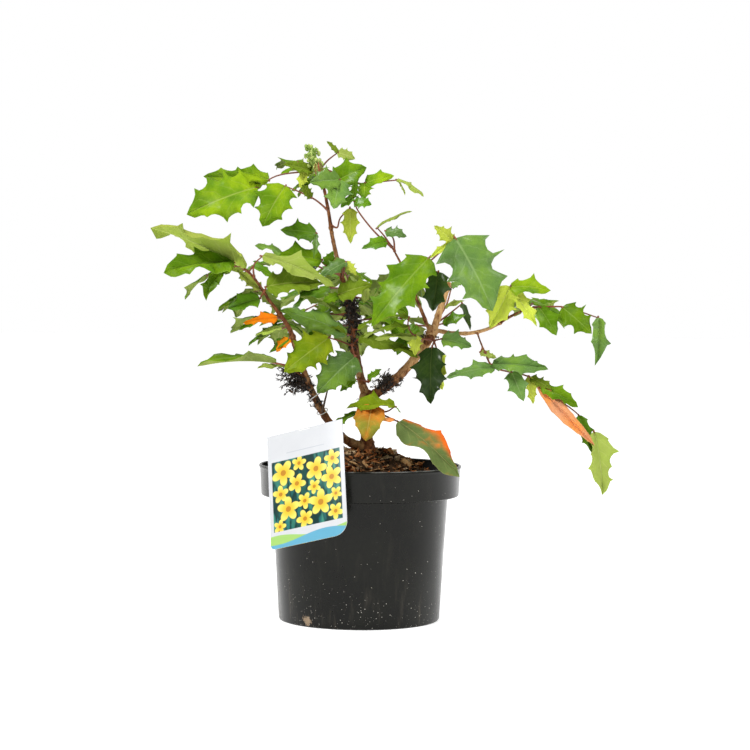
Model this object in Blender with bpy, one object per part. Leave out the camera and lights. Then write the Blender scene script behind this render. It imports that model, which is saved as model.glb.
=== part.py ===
"""An Oregon grape shrub in its nursery pot: pot, bark mulch, plant label, woody stems and masses of leaves.

Metres and degrees, +Z up. The origin is the middle of the pot's flat underside, and -Y is the label's side.
"""
import math
import random
from collections import namedtuple

import bmesh
import bpy
from mathutils import Matrix, Vector
from mathutils.bvhtree import BVHTree

UP = Vector((0, 0, 1))
MM = 0.001
GAP = 0.0003
BARK_GAP = 0.0005

# Pot: a tapered tub with a wide stacking collar
POT_HEIGHT = 0.147
POT_WALL = 0.0016
POT_FLOOR = 0.0025
BASE_RADIUS = 0.0763
BODY_RADIUS = 0.0833
COLLAR_BOTTOM = 0.118
COLLAR_RADIUS = 0.0937
RIM_RADIUS = 0.0950
LIP = 0.0008
BASE_BEVEL = 0.002
POT_SEGMENTS = 40
DRAIN_HOLES = 6
DRAIN_RADIUS = 0.005
DRAIN_SEGMENTS = 10
DRAIN_CIRCLE = 0.056

# Mulch: level with the wall below the rim, heaped up round the stems
SOIL_EDGE = 0.132
SOIL_TOP = 0.160
SOIL_FLAT_RADIUS = 0.017
SOIL_RINGS = 6

# Label: a card that hangs over the rim from a strip pushed into the mulch
LABEL_WIDTH = 0.080
LABEL_HEIGHT = 0.109
LABEL_THICKNESS = 0.0008
LABEL_CENTRE = Vector((-0.048, -0.0895, 0.135))
LABEL_YAW = 31
LABEL_LEAN = 19
LABEL_ROLL = 15
LABEL_BIG_CORNER = 0.013
LABEL_SMALL_CORNER = 0.004
STRIP_WIDTH = 0.012
STRIP_FOOT = Vector((-0.044, -0.056, 0.095))

# Limbs: foot, the corner that the limb bends towards, tip, and the radius at foot and tip
Limb = namedtuple("Limb", "foot bend tip thick thin")
LIMBS = {
    "trunk": Limb((0.006, 0.0, SOIL_TOP + GAP), (0.006, 0.0, 0.185), (0.005, 0.001, 0.209), 0.0060, 0.0060),
    "centre_bough": Limb(
        (0.004, 0.001, 0.2125), (-0.003, 0.002, 0.234), (-0.007, 0.005, 0.2545), 0.0040, 0.0033),
    "upper_bough": Limb(
        (-0.022, 0.010, 0.3345), (-0.027, 0.011, 0.353), (-0.030, 0.012, 0.3705), 0.0025, 0.0022),
    "left_bough": Limb(
        (-0.0035, -0.0022, 0.1655), (-0.036, -0.013, 0.174), (-0.064, -0.030, 0.2675), 0.0046, 0.0028),
    "left_upper_bough": Limb(
        (-0.076, -0.033, 0.2885), (-0.082, -0.034, 0.297), (-0.087, -0.035, 0.3027), 0.0022, 0.0018),
    "right_bough": Limb(
        (0.0115, -0.0015, 0.2125), (0.042, -0.012, 0.230), (0.0655, -0.020, 0.271), 0.0048, 0.0042),
    "upright_bough": Limb(
        (0.0625, -0.0215, 0.2775), (0.053, -0.027, 0.301), (0.0405, -0.030, 0.3285), 0.0022, 0.0017),
    "cut_stub": Limb(
        (0.0690, -0.0172, 0.2786), (0.075, -0.011, 0.298), (0.082, -0.006, 0.320), 0.0038, 0.0031),
    "outer_bough": Limb(
        (0.0720, -0.0215, 0.2745), (0.105, -0.031, 0.267), (0.129, -0.033, 0.2825), 0.0024, 0.0019),
    "back_bough": Limb(
        (0.0045, 0.0085, 0.2130), (-0.005, 0.050, 0.240), (-0.012, 0.088, 0.299), 0.0040, 0.0026),
}
LIMB_SIDES = 8
LIMB_RINGS = 4
RING_STEP = 0.018
KNOT_SWELL = {"trunk": 0.0012, "right_bough": 0.0012}
ROOT_FLARE = 0.0042
FLARE_HEIGHT = 0.016

# The upright cluster of flower buds beside the top stem's tip, and its thickness along its length
SPIKE_PATH = ((-0.0400, 0.010, 0.4215), (-0.047, 0.009, 0.433), (-0.0525, 0.008, 0.4490))
SPIKE_RADIUS = 0.0056
SPIKE_WIDTHS = (0.5, 0.9, 1.0, 0.85, 1.0, 0.75, 0.4)

# Leaves: each is a rachis with toothed leaflets in pairs and one at its end
# plan names the leaflets at each joint of the rachis: L and R for its sides, T for the end
Leaf = namedtuple("Leaf", "at heading rise length size plan bend spread hang roll share first turn dip twist",
                  defaults=("LR LR T", -22, 62, 18, 0, 0.9, 0.42, 0, 8, 0))
# A spray is a leaf whose stalk and leaflets are placed one by one, in millimetres
Spray = namedtuple("Spray", "at line blades")
# Its blades: the root's share of the stalk, the tip, the way the upper side faces, and a factor for its width
Blade = namedtuple("Blade", "share tip face wide", defaults=(1.0,))
# A mass's stem starts at the tip of its bough, or on the bark of a limb at a share of the limb's length
Mass = namedtuple("Mass", "foot bend tip thick thin reach seed leaves")

STEM_POINTS = 5
RACHIS_RADIUS = 0.0010
RACHIS_TIP_RADIUS = 0.0006
RACHIS_STEPS = 2
RACHIS_STEP = 0.035
STEM_SIDES = 6
STALK_SIDES = 3
STALK_START = 0.004
LEAF_WIDTH = 0.66
LEAF_THICKNESS = 0.013
LEAF_DROOP = 22
LEAF_FOLD = 13
ROOT_SINK = 0.0005
SHOULDER = 0.07
SHOULDER_FILL = 0.8
TEETH = 2
FIRST_TOOTH = 0.30
TOOTH_SPACING = 0.34
NOTCH_AFTER = 0.13
TOOTH_DEPTH = 0.16
TOOTH_LIFT = 0.03
MIDRIB_STATIONS = (0.05, 0.45, 0.80)
SHEATH_START = 0.03
BLADE_START = 0.2
CLEARANCE = 0.0005
WOBBLE = 7
SIZE_WOBBLE = 0.10
TURNS = ((0, 0), (14, 0), (-14, 0), (0, 14), (0, -14), (28, 0), (-28, 0), (20, 20), (-20, -20), (42, 10))
NEAR_TURNS = 5

MASSES = {
    "top_foliage": Mass(
        (-0.030, 0.012, 0.3710), (-0.034, 0.012, 0.398), (-0.041, 0.010, 0.425), 0.0022, 0.0016, 0.165, 11, (
        Spray(0.98, ((-60, 8, 423), (-82, 5, 419), (-100, 2, 408)), (
            Blade(1.00, (-166, -8, 381), (-2, -9, 4), 1.1),
            Blade(0.80, (-120, 6, 424), (1, -8, 5), 1.0),
            Blade(0.90, (-153, 22, 419), (1, -9, 3), 0.55),
            Blade(0.12, (-76, 6, 430), (0, -7, 7), 1.1),
            Blade(0.26, (-59, 2, 407), (1, -9, 2), 1.1))),
        Spray(0.30, ((-45, 6, 397), (-60, 0, 404), (-73, -4, 409)), (
            Blade(1.00, (-94, -14, 370), (-3, -9, 2), 1.4),
            Blade(0.42, (-58, -3, 411), (0, -8, 5), 1.1))),
        Spray(0.92, ((-34, 0, 424), (-22, -8, 415)), (
            Blade(1.00, (-50, -18, 412), (0, -9, 3), 1.35),
            Blade(1.00, (-27, -19, 387), (1, -9, 3), 1.5))),
        Spray(0.97, ((-30, 8, 424), (-27, 5, 414)), (
            Blade(1.00, (4, 4, 428), (1, -9, 4), 1.6),)),
        Spray(0.95, ((-4, 8, 413), (3, 5, 413), (22, 3, 415), (32, 2, 416)), (
            Blade(0.48, (30, -3, 420), (0, -8, 5), 0.9),
            Blade(0.46, (1, -4, 397), (0, -10, 1), 1.5),
            Blade(1.00, (40, -4, 401), (9, -3, 4), 0.6),
            Blade(1.00, (58, -2, 400), (5, -2, 8), 0.5))),
        Spray(1.00, ((-34, 10, 434), (-24, 10, 442)), (
            Blade(1.00, (-35, 8, 453), (0, -8, 6), 0.7),
            Blade(1.00, (-7, 12, 436), (0, -9, 4), 1.2))),
        Spray(0.05, ((-24, 8, 371), (-21, 5, 380), (-12, 3, 389)), (
            Blade(1.00, (-11, -3, 355), (0, -10, 1), 0.8),)),
        Leaf(0.75, 95, 26, 0.052, 0.042),
        Leaf(0.85, 125, 34, 0.046, 0.038, "LR T"),
    )),
    "upper_right_foliage": Mass(
        (0.040, -0.030, 0.3292), (0.034, -0.027, 0.342), (0.028, -0.022, 0.352), 0.0016, 0.0012, 0.14, 12, (
        Spray(1.00, ((12, -14, 366), (-4, -6, 386), (-9, -4, 399)), (
            Blade(0.90, (9, -10, 392), (0, -9, 4), 1.4),
            Blade(1.00, (-21, -6, 389), (0, -8, 5), 1.1),
            Blade(1.00, (-7, -10, 414), (1, -9, 3), 0.9))),
        Spray(1.00, ((21, -21, 362), (14, -20, 370)), (
            Blade(1.00, (47, -24, 386), (-2, -4, 9), 0.45),)),
        Spray(0.80, ((29, -27, 360), (22, -29, 367)), (
            Blade(1.00, (42, -33, 362), (0, -8, 6), 1.15),)),
        Spray(1.00, ((23, -26, 357),), (
            Blade(1.00, (-1, -30, 350), (0, -8, 6), 1.05),)),
        Spray(0.04, ((48, -38, 336), (62, -46, 342)), (
            Blade(1.00, (9, -66, 278), (-2, -9, 3), 0.85),)),
        Spray(0.07, ((56, -40, 334), (73, -48, 348), (86, -52, 360)), (
            Blade(1.00, (121, -58, 293), (2, -9, 4), 1.3),
            Blade(0.93, (66, -50, 372), (0, -8, 5), 1.2),
            Blade(0.90, (62, -54, 341), (0, -9, 4), 0.5))),
        Spray(0.10, ((56, -37, 333), (71, -38, 329)), (
            Blade(1.00, (66, -42, 292), (0, -9, 3), 1.15),)),
        Leaf(0.30, 95, -5, 0.060, 0.042, hang=30),
    )),
    "left_foliage": Mass(
        (-0.087, -0.035, 0.3032), (-0.103, -0.038, 0.330), (-0.116, -0.042, 0.336),
        0.0018, 0.0011, 0.14, 13, (
        Spray(0.55, ((-108, -39, 329),), (
            Blade(1.00, (-194, -65, 367), (3, 3, 9), 1.0),)),
        Spray(0.12, ((-95, -31, 303),), (
            Blade(1.00, (-125, -34, 293), (0, -8, 5), 1.1),)),
        Leaf(1.00, -150, 2, 0.004, 0.065, "T", bend=0, dip=0, twist=-32),
        Leaf(0.85, 158, -4, 0.036, 0.034, "LR LR T", roll=-20),
        Spray(0.42, ((-100, -41, 334), (-92, -44, 342)), (
            Blade(1.00, (-25, -38, 315), (1, -6, 8), 0.55),)),
        Spray(0.12, ((-88, -42, 314),), (
            Blade(1.00, (-37, -37, 318), (0, -7, 7), 1.15),)),
        Spray(0.25, ((-94, -31, 312),), (
            Blade(1.00, (-117, -28, 330), (-6, -6, 5), 0.7),)),
        Leaf(0.60, 70, 30, 0.026, 0.030, "LR T", hang=30),
        Leaf(0.15, 110, 5, 0.050, 0.042),
    )),
    "left_middle_foliage": Mass(
        (-0.0641, -0.0301, 0.2680), (-0.068, -0.032, 0.279), (-0.0757, -0.0329, 0.2880),
        0.0027, 0.0023, 0.11, 14, (
        Spray(0.75, ((-78, -37, 285),), (
            Blade(1.00, (-110, -42, 280), (0, -7, 7), 0.7),)),
        Spray(0.45, ((-74, -36, 275),), (
            Blade(1.00, (-99, -40, 268), (0, -4, 8), 0.7),)),
        Spray(0.05, ((-67, -35, 266),), (
            Blade(1.00, (-79, -38, 253), (-3, -8, 5), 1.3),
            Blade(1.00, (-86, -33, 252), (0, -7, 7), 0.8))),
        Leaf(0.90, 140, 10, 0.034, 0.034, "LR T"),
        Leaf(0.50, 100, 8, 0.050, 0.042),
    )),
    "centre_foliage": Mass(
        (-0.007, 0.005, 0.2550), (-0.009, 0.008, 0.292), (-0.022, 0.010, 0.3340), 0.0032, 0.0026, 0.12, 15, (
        Leaf(0.04, -135, 20, 0.034, 0.062, "T", bend=-10, dip=44, twist=-62),
        Spray(0.06, ((-9, -8, 260), (-6, -14, 249)), (
            Blade(1.00, (-41, -32, 215), (-1, -9, 3), 1.15),)),
        Spray(0.18, ((-14, -2, 270),), (
            Blade(1.00, (-78, -8, 292), (1, -7, 7), 0.75),
            Blade(1.00, (-30, -8, 277), (0, -6, 8), 0.9))),
        Spray(0.45, ((-20, 0, 289),), (
            Blade(1.00, (-60, 0, 305), (2, -3, 9), 0.7),)),
        Spray(0.92, ((-36, 8, 336), (-44, 6, 348), (-44, 4, 365)), (
            Blade(1.00, (-78, -4, 368), (0, -9, 4), 1.05),
            Blade(0.45, (-82, -4, 344), (-2, -8, 5), 1.0),
            Blade(1.00, (-46, -2, 340), (3, -9, 1), 0.5),
            Blade(0.30, (-27, -2, 349), (2, -8, 4), 1.0))),
        Spray(0.90, ((-42, 4, 334), (-62, 2, 342), (-76, 0, 345)), (
            Blade(1.00, (-102, -4, 353), (0, -4, 9), 0.9),
            Blade(0.45, (-44, -6, 326), (0, -8, 6), 0.9))),
        Spray(0.86, ((-17, -1, 331), (-15, -3, 338)), (
            Blade(1.00, (-40, -10, 322), (-1, -6, 8), 1.15),
            Blade(1.00, (-5, -6, 325), (1, -8, 5), 1.0))),
        Spray(0.62, ((-22, 0, 307),), (
            Blade(1.00, (10, -8, 317), (0, -8, 6), 1.25),
            Blade(1.00, (-38, -4, 299), (0, -9, 4), 1.0))),
        Spray(0.60, ((4, 4, 314),), (
            Blade(1.00, (2, 0, 299), (1, -9, 2), 1.1),)),
        Spray(0.25, ((-3, -1, 275),), (
            Blade(1.00, (14, -6, 284), (0, -6, 8), 0.8),)),
        Spray(0.10, ((-2, -2, 265),), (
            Blade(1.00, (16, -7, 273), (0, -5, 8), 0.7),
            Blade(1.00, (54, -32, 249), (0, -4, 9), 0.6))),
        Leaf(0.35, 8, 12, 0.048, 0.042, bend=-15, hang=6),
        Leaf(0.42, 170, 10, 0.050, 0.042, roll=-20),
        Leaf(0.60, 75, 8, 0.050, 0.044),
        Leaf(0.30, 120, 4, 0.046, 0.042),
    )),
    "fork_back_foliage": Mass(
        ("right_bough", 0.95), (0.066, -0.006, 0.276), (0.069, -0.001, 0.280), 0.0018, 0.0015, 0.12, 16, (
        Spray(1.00, ((80, 4, 298), (85, 4, 316)), (
            Blade(1.00, (98, -1, 322), (0, -8, 6), 1.1),
            Blade(0.45, (98, 0, 303), (0, -5, 8), 0.6))),
        Spray(0.90, ((84, 0, 291), (95, 0, 300)), (
            Blade(1.00, (103, -4, 274), (6, -7, 2), 0.7),)),
        Spray(0.80, ((77, -2, 281),), (
            Blade(1.00, (99, -6, 290), (0, -8, 6), 1.0),)),
        Leaf(0.80, 150, 4, 0.044, 0.040, "LR T", bend=-12, hang=4),
        Leaf(1.00, 110, 10, 0.056, 0.042),
    )),
    "fork_front_foliage": Mass(
        ("right_bough", 0.95), (0.066, -0.031, 0.268), (0.068, -0.035, 0.265), 0.0018, 0.0015, 0.11, 17, (
        Leaf(1.00, -105, -30, 0.010, 0.056, "T", bend=-10, dip=32),
        Leaf(0.90, -60, -50, 0.012, 0.040, "T", bend=-15, dip=20, twist=60),
        Spray(0.90, ((75, -38, 267),), (
            Blade(1.00, (103, -42, 260), (0, -8, 6), 1.15),)),
        Spray(0.60, ((52, -37, 268), (44, -36, 277), (44, -34, 287)), (
            Blade(1.00, (14, -30, 284), (0, -4, 9), 0.8),
            Blade(0.70, (15, -34, 275), (0, -6, 8), 0.7),
            Blade(0.32, (12, -33, 266), (0, -5, 8), 0.5),
            Blade(0.40, (50, -44, 251), (0, -9, 3), 1.1))),
    )),
    "outer_foliage": Mass(
        (0.1292, -0.033, 0.2828), (0.147, -0.035, 0.294), (0.159, -0.036, 0.297), 0.0018, 0.0013, 0.13, 18, (
        Spray(0.18, ((138, -36, 301), (138, -37, 316)), (
            Blade(1.00, (119, -42, 277), (1, -9, 3), 1.0),
            Blade(1.00, (176, -40, 313), (1, -7, 7), 1.15),
            Blade(0.92, (163, -44, 279), (3, -8, 4), 0.75))),
        Spray(1.00, ((176, -38, 298), (192, -38, 297), (220, -38, 288)), (
            Blade(0.12, (181, -46, 271), (1, -9, 3), 1.2),
            Blade(0.55, (214, -44, 273), (-1, -9, 4), 1.2),
            Blade(1.00, (217, -42, 243), (6, -7, 3), 0.8))),
        Leaf(0.80, 70, 20, 0.046, 0.040),
    )),
    "lower_right_foliage": Mass(
        ("outer_bough", 0.60), (0.112, -0.035, 0.261), (0.115, -0.039, 0.256), 0.0013, 0.0011, 0.19, 19, (
        Spray(1.00, ((124, -40, 241), (156, -42, 233), (171, -43, 220), (199, -43, 201), (217, -42, 182)), (
            Blade(0.20, (78, -60, 232), (0, -7, 7), 0.6),
            Blade(0.16, (174, -48, 240), (0, -7, 7), 0.75),
            Blade(0.30, (151, -51, 210), (-1, -9, 3), 1.1),
            Blade(0.40, (160, -45, 207), (2, -9, 3), 0.7),
            Blade(0.42, (178, -47, 221), (1, -8, 6), 0.9),
            Blade(0.55, (202, -48, 205), (1, -6, 8), 0.9),
            Blade(0.50, (217, -54, 170), (-6, -7, 4), 0.27),
            Blade(0.62, (192, -42, 198), (0, -9, 3), 0.8),
            Blade(0.84, (215, -48, 162), (3, -9, 2), 0.65),
            Blade(1.00, (225, -45, 123), (5, -8, 2), 0.85))),
        Spray(0.70, ((111, -37, 255),), (
            Blade(1.00, (126, -44, 250), (0, -8, 6), 0.8),)),
    )),
    "low_left_leaf": Mass(
        ("left_bough", 0.80), (-0.062, -0.0275, 0.236), (-0.070, -0.032, 0.241), 0.0012, 0.0010, 0.11, 20, (
        Leaf(1.00, -160, 16, 0.010, 0.070, "T", bend=-8, dip=0, twist=-6),
        Leaf(0.60, 160, 26, 0.006, 0.028, "T", dip=0),
    )),
    "basal_foliage": Mass(
        ("trunk", 0.66), (0.010, -0.012, 0.196), (0.012, -0.016, 0.198), 0.0016, 0.0013, 0.12, 21, (
        Spray(1.00, ((11, -24, 203),), (
            Blade(1.00, (5, -54, 172), (-1, -8, 6), 1.1),)),
        Leaf(0.80, -178, -4, 0.010, 0.032, "T", bend=-10, dip=0, twist=-10),
        Spray(1.00, ((24, -20, 198), (32, -25, 203)), (
            Blade(1.00, (-14, -27, 201), (0, -4, 9), 1.0),
            Blade(1.00, (38, -27, 197), (6, -5, 5), 0.5))),
        Spray(0.95, ((24, -24, 194), (36, -34, 189)), (
            Blade(1.00, (92, -69, 141), (3, -7, 7), 0.74),
            Blade(0.80, (17, -37, 190), (0, -6, 8), 0.7))),
    )),
    "low_shoot_foliage": Mass(
        ("centre_bough", 0.30), (0.006, -0.008, 0.224), (0.008, -0.010, 0.226), 0.0010, 0.0009, 0.06, 23, (
        Spray(1.00, ((7, -12, 228),), (
            Blade(1.00, (20, -14, 238), (0, -8, 6), 0.85),)),
        Spray(0.80, ((2, -14, 227), (-6, -13, 228)), (
            Blade(1.00, (-20, -14, 216), (0, -9, 4), 0.9),)),
    )),
    "back_foliage": Mass(
        (-0.012, 0.088, 0.2995), (-0.013, 0.097, 0.310), (-0.014, 0.104, 0.322), 0.0024, 0.0018, 0.14, 22, (
        Leaf(1.00, 90, 18, 0.060, 0.048),
        Leaf(0.80, 35, 8, 0.056, 0.046),
        Leaf(0.60, 145, 8, 0.056, 0.046),
        Leaf(0.30, 0, -6, 0.046, 0.042, "LR T"),
        Leaf(0.35, 190, -8, 0.046, 0.042, "LR T"),
        Leaf(0.10, 80, -16, 0.050, 0.044, "LR T"),
        Leaf(1.00, 250, 40, 0.034, 0.036, "LR T"),
    )),
}

# Colours: base colour and roughness
POT_FINISH = ((0.018, 0.018, 0.017), 0.45)
SOIL_FINISH = ((0.060, 0.035, 0.020), 0.95)
LABEL_FINISH = ((0.85, 0.86, 0.86), 0.40)
BARK_FINISH = ((0.25, 0.14, 0.075), 0.85)
LEAF_FINISH = ((0.11, 0.22, 0.035), 0.45)


def material(name, finish):
    """A Principled finish of one base colour and roughness."""
    colour, roughness = finish
    made = bpy.data.materials.new(name)
    made.use_nodes = True
    shader = made.node_tree.nodes["Principled BSDF"]
    shader.inputs["Base Color"].default_value = (*colour, 1)
    shader.inputs["Roughness"].default_value = roughness
    shader.inputs["Metallic"].default_value = 0
    return made


def new_object(name, bm, finish=None, smooth=False):
    """An object of the bmesh's faces, turned outwards, with its own material."""
    bmesh.ops.recalc_face_normals(bm, faces=bm.faces)
    mesh = bpy.data.meshes.new(name)
    bm.to_mesh(mesh)
    bm.free()
    if smooth:
        mesh.shade_smooth()
    if finish:
        mesh.materials.append(material(name, finish))
    made = bpy.data.objects.new(name, mesh)
    bpy.context.scene.collection.objects.link(made)
    return made


def apply_boolean(target, operation, tool=None, tools=None, solver="EXACT"):
    """Cut or join the target with one object or a collection, and remove what it was joined with."""
    modifier = target.modifiers.new("join", "BOOLEAN")
    modifier.operation = operation
    modifier.solver = solver
    if tools:
        modifier.operand_type = "COLLECTION"
        modifier.collection = tools
    else:
        modifier.object = tool
    bpy.context.view_layer.objects.active = target
    bpy.ops.object.modifier_apply(modifier=modifier.name)
    used = list(tools.objects) if tools else [tool]
    for item in used:
        bpy.data.objects.remove(item)
    if tools:
        bpy.data.collections.remove(tools)


def tree(made):
    """The object's surface, for tests of what touches it."""
    bm = bmesh.new()
    bm.from_mesh(made.data)
    found = BVHTree.FromBMesh(bm)
    bm.free()
    return found


def curve(foot, bend, tip, count):
    """Points along the smooth bend from foot to tip."""
    foot, bend, tip = Vector(foot), Vector(bend), Vector(tip)
    steps = [i / (count - 1) for i in range(count)]
    return [foot * (1 - t) ** 2 + bend * 2 * t * (1 - t) + tip * t * t for t in steps]


def heading_at(points, i):
    """The direction of the line through the points at one of them, true also at its two ends."""
    last = len(points) - 1
    if last == 1:
        return (points[1] - points[0]).normalized()
    if i == 0:
        return (points[1] * 4 - points[0] * 3 - points[2]).normalized()
    if i == last:
        return (points[last] * 3 - points[last - 1] * 4 + points[last - 2]).normalized()
    return (points[i + 1] - points[i - 1]).normalized()


def add_tube(bm, points, radii, sides):
    """A closed tube through the points, with a flat end at each end."""
    across = None
    rings = []
    for i, point in enumerate(points):
        ahead = heading_at(points, i)
        if across is None:
            across = ahead.orthogonal()
        across = (across - ahead * across.dot(ahead)).normalized()
        beside = ahead.cross(across)
        ring = []
        for k in range(sides):
            turn = 2 * math.pi * k / sides
            out = across * math.cos(turn) + beside * math.sin(turn)
            ring.append(bm.verts.new(point + out * radii[i]))
        rings.append(ring)
    for low, high in zip(rings, rings[1:]):
        for k in range(sides):
            m = (k + 1) % sides
            bm.faces.new((low[k], low[m], high[m], high[k]))
    bm.faces.new(rings[0][::-1])
    bm.faces.new(rings[-1])


def add_turned(bm, profile, segments):
    """A closed turned solid; the profile starts and ends on the axis."""
    rings = []
    for radius, height in profile:
        if radius == 0:
            rings.append([bm.verts.new((0, 0, height))])
            continue
        turns = [2 * math.pi * k / segments for k in range(segments)]
        rings.append([bm.verts.new((radius * math.cos(a), radius * math.sin(a), height)) for a in turns])
    for low, high in zip(rings, rings[1:]):
        for k in range(segments):
            m = (k + 1) % segments
            corners = [low[k % len(low)], low[m % len(low)], high[m % len(high)], high[k % len(high)]]
            unique = list(dict.fromkeys(corners))
            bm.faces.new(unique)


def build_pot():
    """The tub: floor, tapered wall, ledge, collar and lip, with drain holes in the floor."""
    inner_base = BASE_RADIUS - POT_WALL
    profile = [
        (0, 0),
        (BASE_RADIUS - BASE_BEVEL, 0),
        (BASE_RADIUS, BASE_BEVEL),
        (BODY_RADIUS, COLLAR_BOTTOM),
        (COLLAR_RADIUS, COLLAR_BOTTOM),
        (RIM_RADIUS, POT_HEIGHT - 4 * LIP),
        (RIM_RADIUS + LIP, POT_HEIGHT - 3 * LIP),
        (RIM_RADIUS + LIP, POT_HEIGHT - LIP),
        (RIM_RADIUS, POT_HEIGHT),
        (RIM_RADIUS - POT_WALL, POT_HEIGHT),
        (COLLAR_RADIUS - POT_WALL, COLLAR_BOTTOM + POT_WALL),
        (BODY_RADIUS - POT_WALL, COLLAR_BOTTOM + POT_WALL),
        (inner_base, POT_FLOOR),
        (0, POT_FLOOR),
    ]
    bm = bmesh.new()
    add_turned(bm, profile, POT_SEGMENTS)
    pot = new_object("pot", bm, POT_FINISH, smooth=True)
    bm = bmesh.new()
    for k in range(DRAIN_HOLES):
        turn = 2 * math.pi * (k + 0.5) / DRAIN_HOLES
        place = Vector((DRAIN_CIRCLE * math.cos(turn), DRAIN_CIRCLE * math.sin(turn), POT_FLOOR / 2))
        bmesh.ops.create_cone(bm, cap_ends=True, segments=DRAIN_SEGMENTS, radius1=DRAIN_RADIUS,
                              radius2=DRAIN_RADIUS, depth=4 * POT_FLOOR, matrix=Matrix.Translation(place))
    apply_boolean(pot, "DIFFERENCE", tool=new_object("drain_cutter", bm))
    return pot


def strip_outline(thickness, width, grow):
    """The label's strip: from the card's top edge down into the mulch, as a closed bar."""
    across, upright, out = label_axes()
    top = LABEL_CENTRE + upright * (LABEL_HEIGHT / 2 - thickness)
    ends = [top, STRIP_FOOT - (top - STRIP_FOOT).normalized() * grow]
    along = (ends[1] - ends[0]).normalized()
    normal = across.cross(along).normalized()
    bm = bmesh.new()
    corners = []
    for end in ends:
        for side, face in ((-1, -1), (1, -1), (1, 1), (-1, 1)):
            corners.append(bm.verts.new(end + across * side * width / 2 + normal * face * thickness / 2))
    bm.faces.new(corners[0:4])
    bm.faces.new(corners[4:8])
    for k in range(4):
        m = (k + 1) % 4
        bm.faces.new((corners[k], corners[m], corners[4 + m], corners[4 + k]))
    return bm


def label_axes():
    """The card's directions: across it, up it, and out of its face."""
    yaw, lean, roll = math.radians(LABEL_YAW), math.radians(LABEL_LEAN), math.radians(LABEL_ROLL)
    out = Vector((-math.sin(yaw), -math.cos(yaw), 0))
    across = Vector((math.cos(yaw), -math.sin(yaw), 0))
    upright = UP * math.cos(lean) - out * math.sin(lean)
    turned = across * math.cos(roll) + upright * math.sin(roll)
    upright = upright * math.cos(roll) - across * math.sin(roll)
    return turned, upright, turned.cross(upright)


def build_label():
    """The card with its rounded lower corners, and the strip that carries it."""
    across, upright, out = label_axes()
    half_w, half_h = LABEL_WIDTH / 2, LABEL_HEIGHT / 2
    outline = [(-half_w, half_h), (half_w, half_h)]
    for corner_x, radius, start in ((half_w, LABEL_BIG_CORNER, 0), (-half_w, LABEL_SMALL_CORNER, 90)):
        sign = 1 if corner_x > 0 else -1
        for k in range(4):
            turn = math.radians(start + 30 * k)
            centre = (corner_x - sign * radius, -half_h + radius)
            outline.append((centre[0] + radius * math.cos(turn), centre[1] - radius * math.sin(turn)))
    bm = bmesh.new()
    back = [bm.verts.new(LABEL_CENTRE + across * x + upright * y - out * LABEL_THICKNESS) for x, y in outline]
    front = [bm.verts.new(LABEL_CENTRE + across * x + upright * y) for x, y in outline]
    bm.faces.new(back)
    bm.faces.new(front[::-1])
    for k in range(len(outline)):
        m = (k + 1) % len(outline)
        bm.faces.new((back[k], back[m], front[m], front[k]))
    label = new_object("plant_label", bm, LABEL_FINISH)
    strip = new_object("strip", strip_outline(LABEL_THICKNESS, STRIP_WIDTH, 0))
    apply_boolean(label, "UNION", tool=strip)
    return label


def build_soil():
    """The mulch: fills the tub up to a heap round the stems, with a slot for the label's strip."""
    low = POT_FLOOR + GAP
    ledge = COLLAR_BOTTOM + POT_WALL + GAP
    inset = POT_WALL + GAP
    edge_radius = COLLAR_RADIUS - inset
    profile = [(0, low), (BASE_RADIUS - inset - GAP, low), (BODY_RADIUS - inset - GAP, ledge),
               (edge_radius, ledge), (edge_radius, SOIL_EDGE)]
    for k in range(1, SOIL_RINGS + 1):
        share = k / SOIL_RINGS
        radius = edge_radius + (SOIL_FLAT_RADIUS - edge_radius) * share
        rise = 0.5 - 0.5 * math.cos(math.pi * share)
        profile.append((radius, SOIL_EDGE + (SOIL_TOP - SOIL_EDGE) * rise))
    profile.append((0, SOIL_TOP))
    bm = bmesh.new()
    add_turned(bm, profile, POT_SEGMENTS // 2)
    soil = new_object("soil", bm, SOIL_FINISH, smooth=True)
    slot = new_object("slot", strip_outline(LABEL_THICKNESS + 2 * GAP, STRIP_WIDTH + 2 * GAP, GAP))
    apply_boolean(soil, "DIFFERENCE", tool=slot)
    return soil


def limb_radius(name, limb, share, height):
    """The limb's radius at a share of its length: even taper, a knot at a fork, a flare at the root."""
    radius = limb.thick + (limb.thin - limb.thick) * share
    radius += KNOT_SWELL.get(name, 0) * max(0, 1 - (1 - share) * 5)
    if name == "trunk":
        above = (height - SOIL_TOP) / FLARE_HEIGHT
        radius += ROOT_FLARE * max(0, 1 - above) ** 2
    return radius


def build_limb(name, limb):
    """One tapering limb along its bend."""
    count = LIMB_RINGS + int((Vector(limb.tip) - Vector(limb.foot)).length / RING_STEP)
    points = curve(limb.foot, limb.bend, limb.tip, count)
    radii = [limb_radius(name, limb, i / (count - 1), p.z) for i, p in enumerate(points)]
    bm = bmesh.new()
    add_tube(bm, points, radii, LIMB_SIDES)
    return new_object(name, bm, BARK_FINISH, smooth=True)


def direction(heading, rise):
    """The unit vector at a heading from +X and a rise above level."""
    heading, rise = math.radians(heading), math.radians(rise)
    return Vector((math.cos(heading) * math.cos(rise), math.sin(heading) * math.cos(rise), math.sin(rise)))


def width_share(t):
    """Half the leaflet's width at a share of its length: an egg shape, broadest below the middle."""
    return math.sin(math.pi * t ** 0.72) ** 0.75


def side_stations():
    """Shares of the length and of the width along one edge of a leaflet: tooth, notch, tooth."""
    stations = [(SHOULDER, width_share(SHOULDER) * SHOULDER_FILL)]
    for k in range(TEETH):
        tooth = FIRST_TOOTH + TOOTH_SPACING * k
        stations.append((tooth, width_share(tooth)))
        notch = tooth + NOTCH_AFTER
        stations.append((notch, width_share(notch) * (1 - TOOTH_DEPTH)))
    return stations


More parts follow.
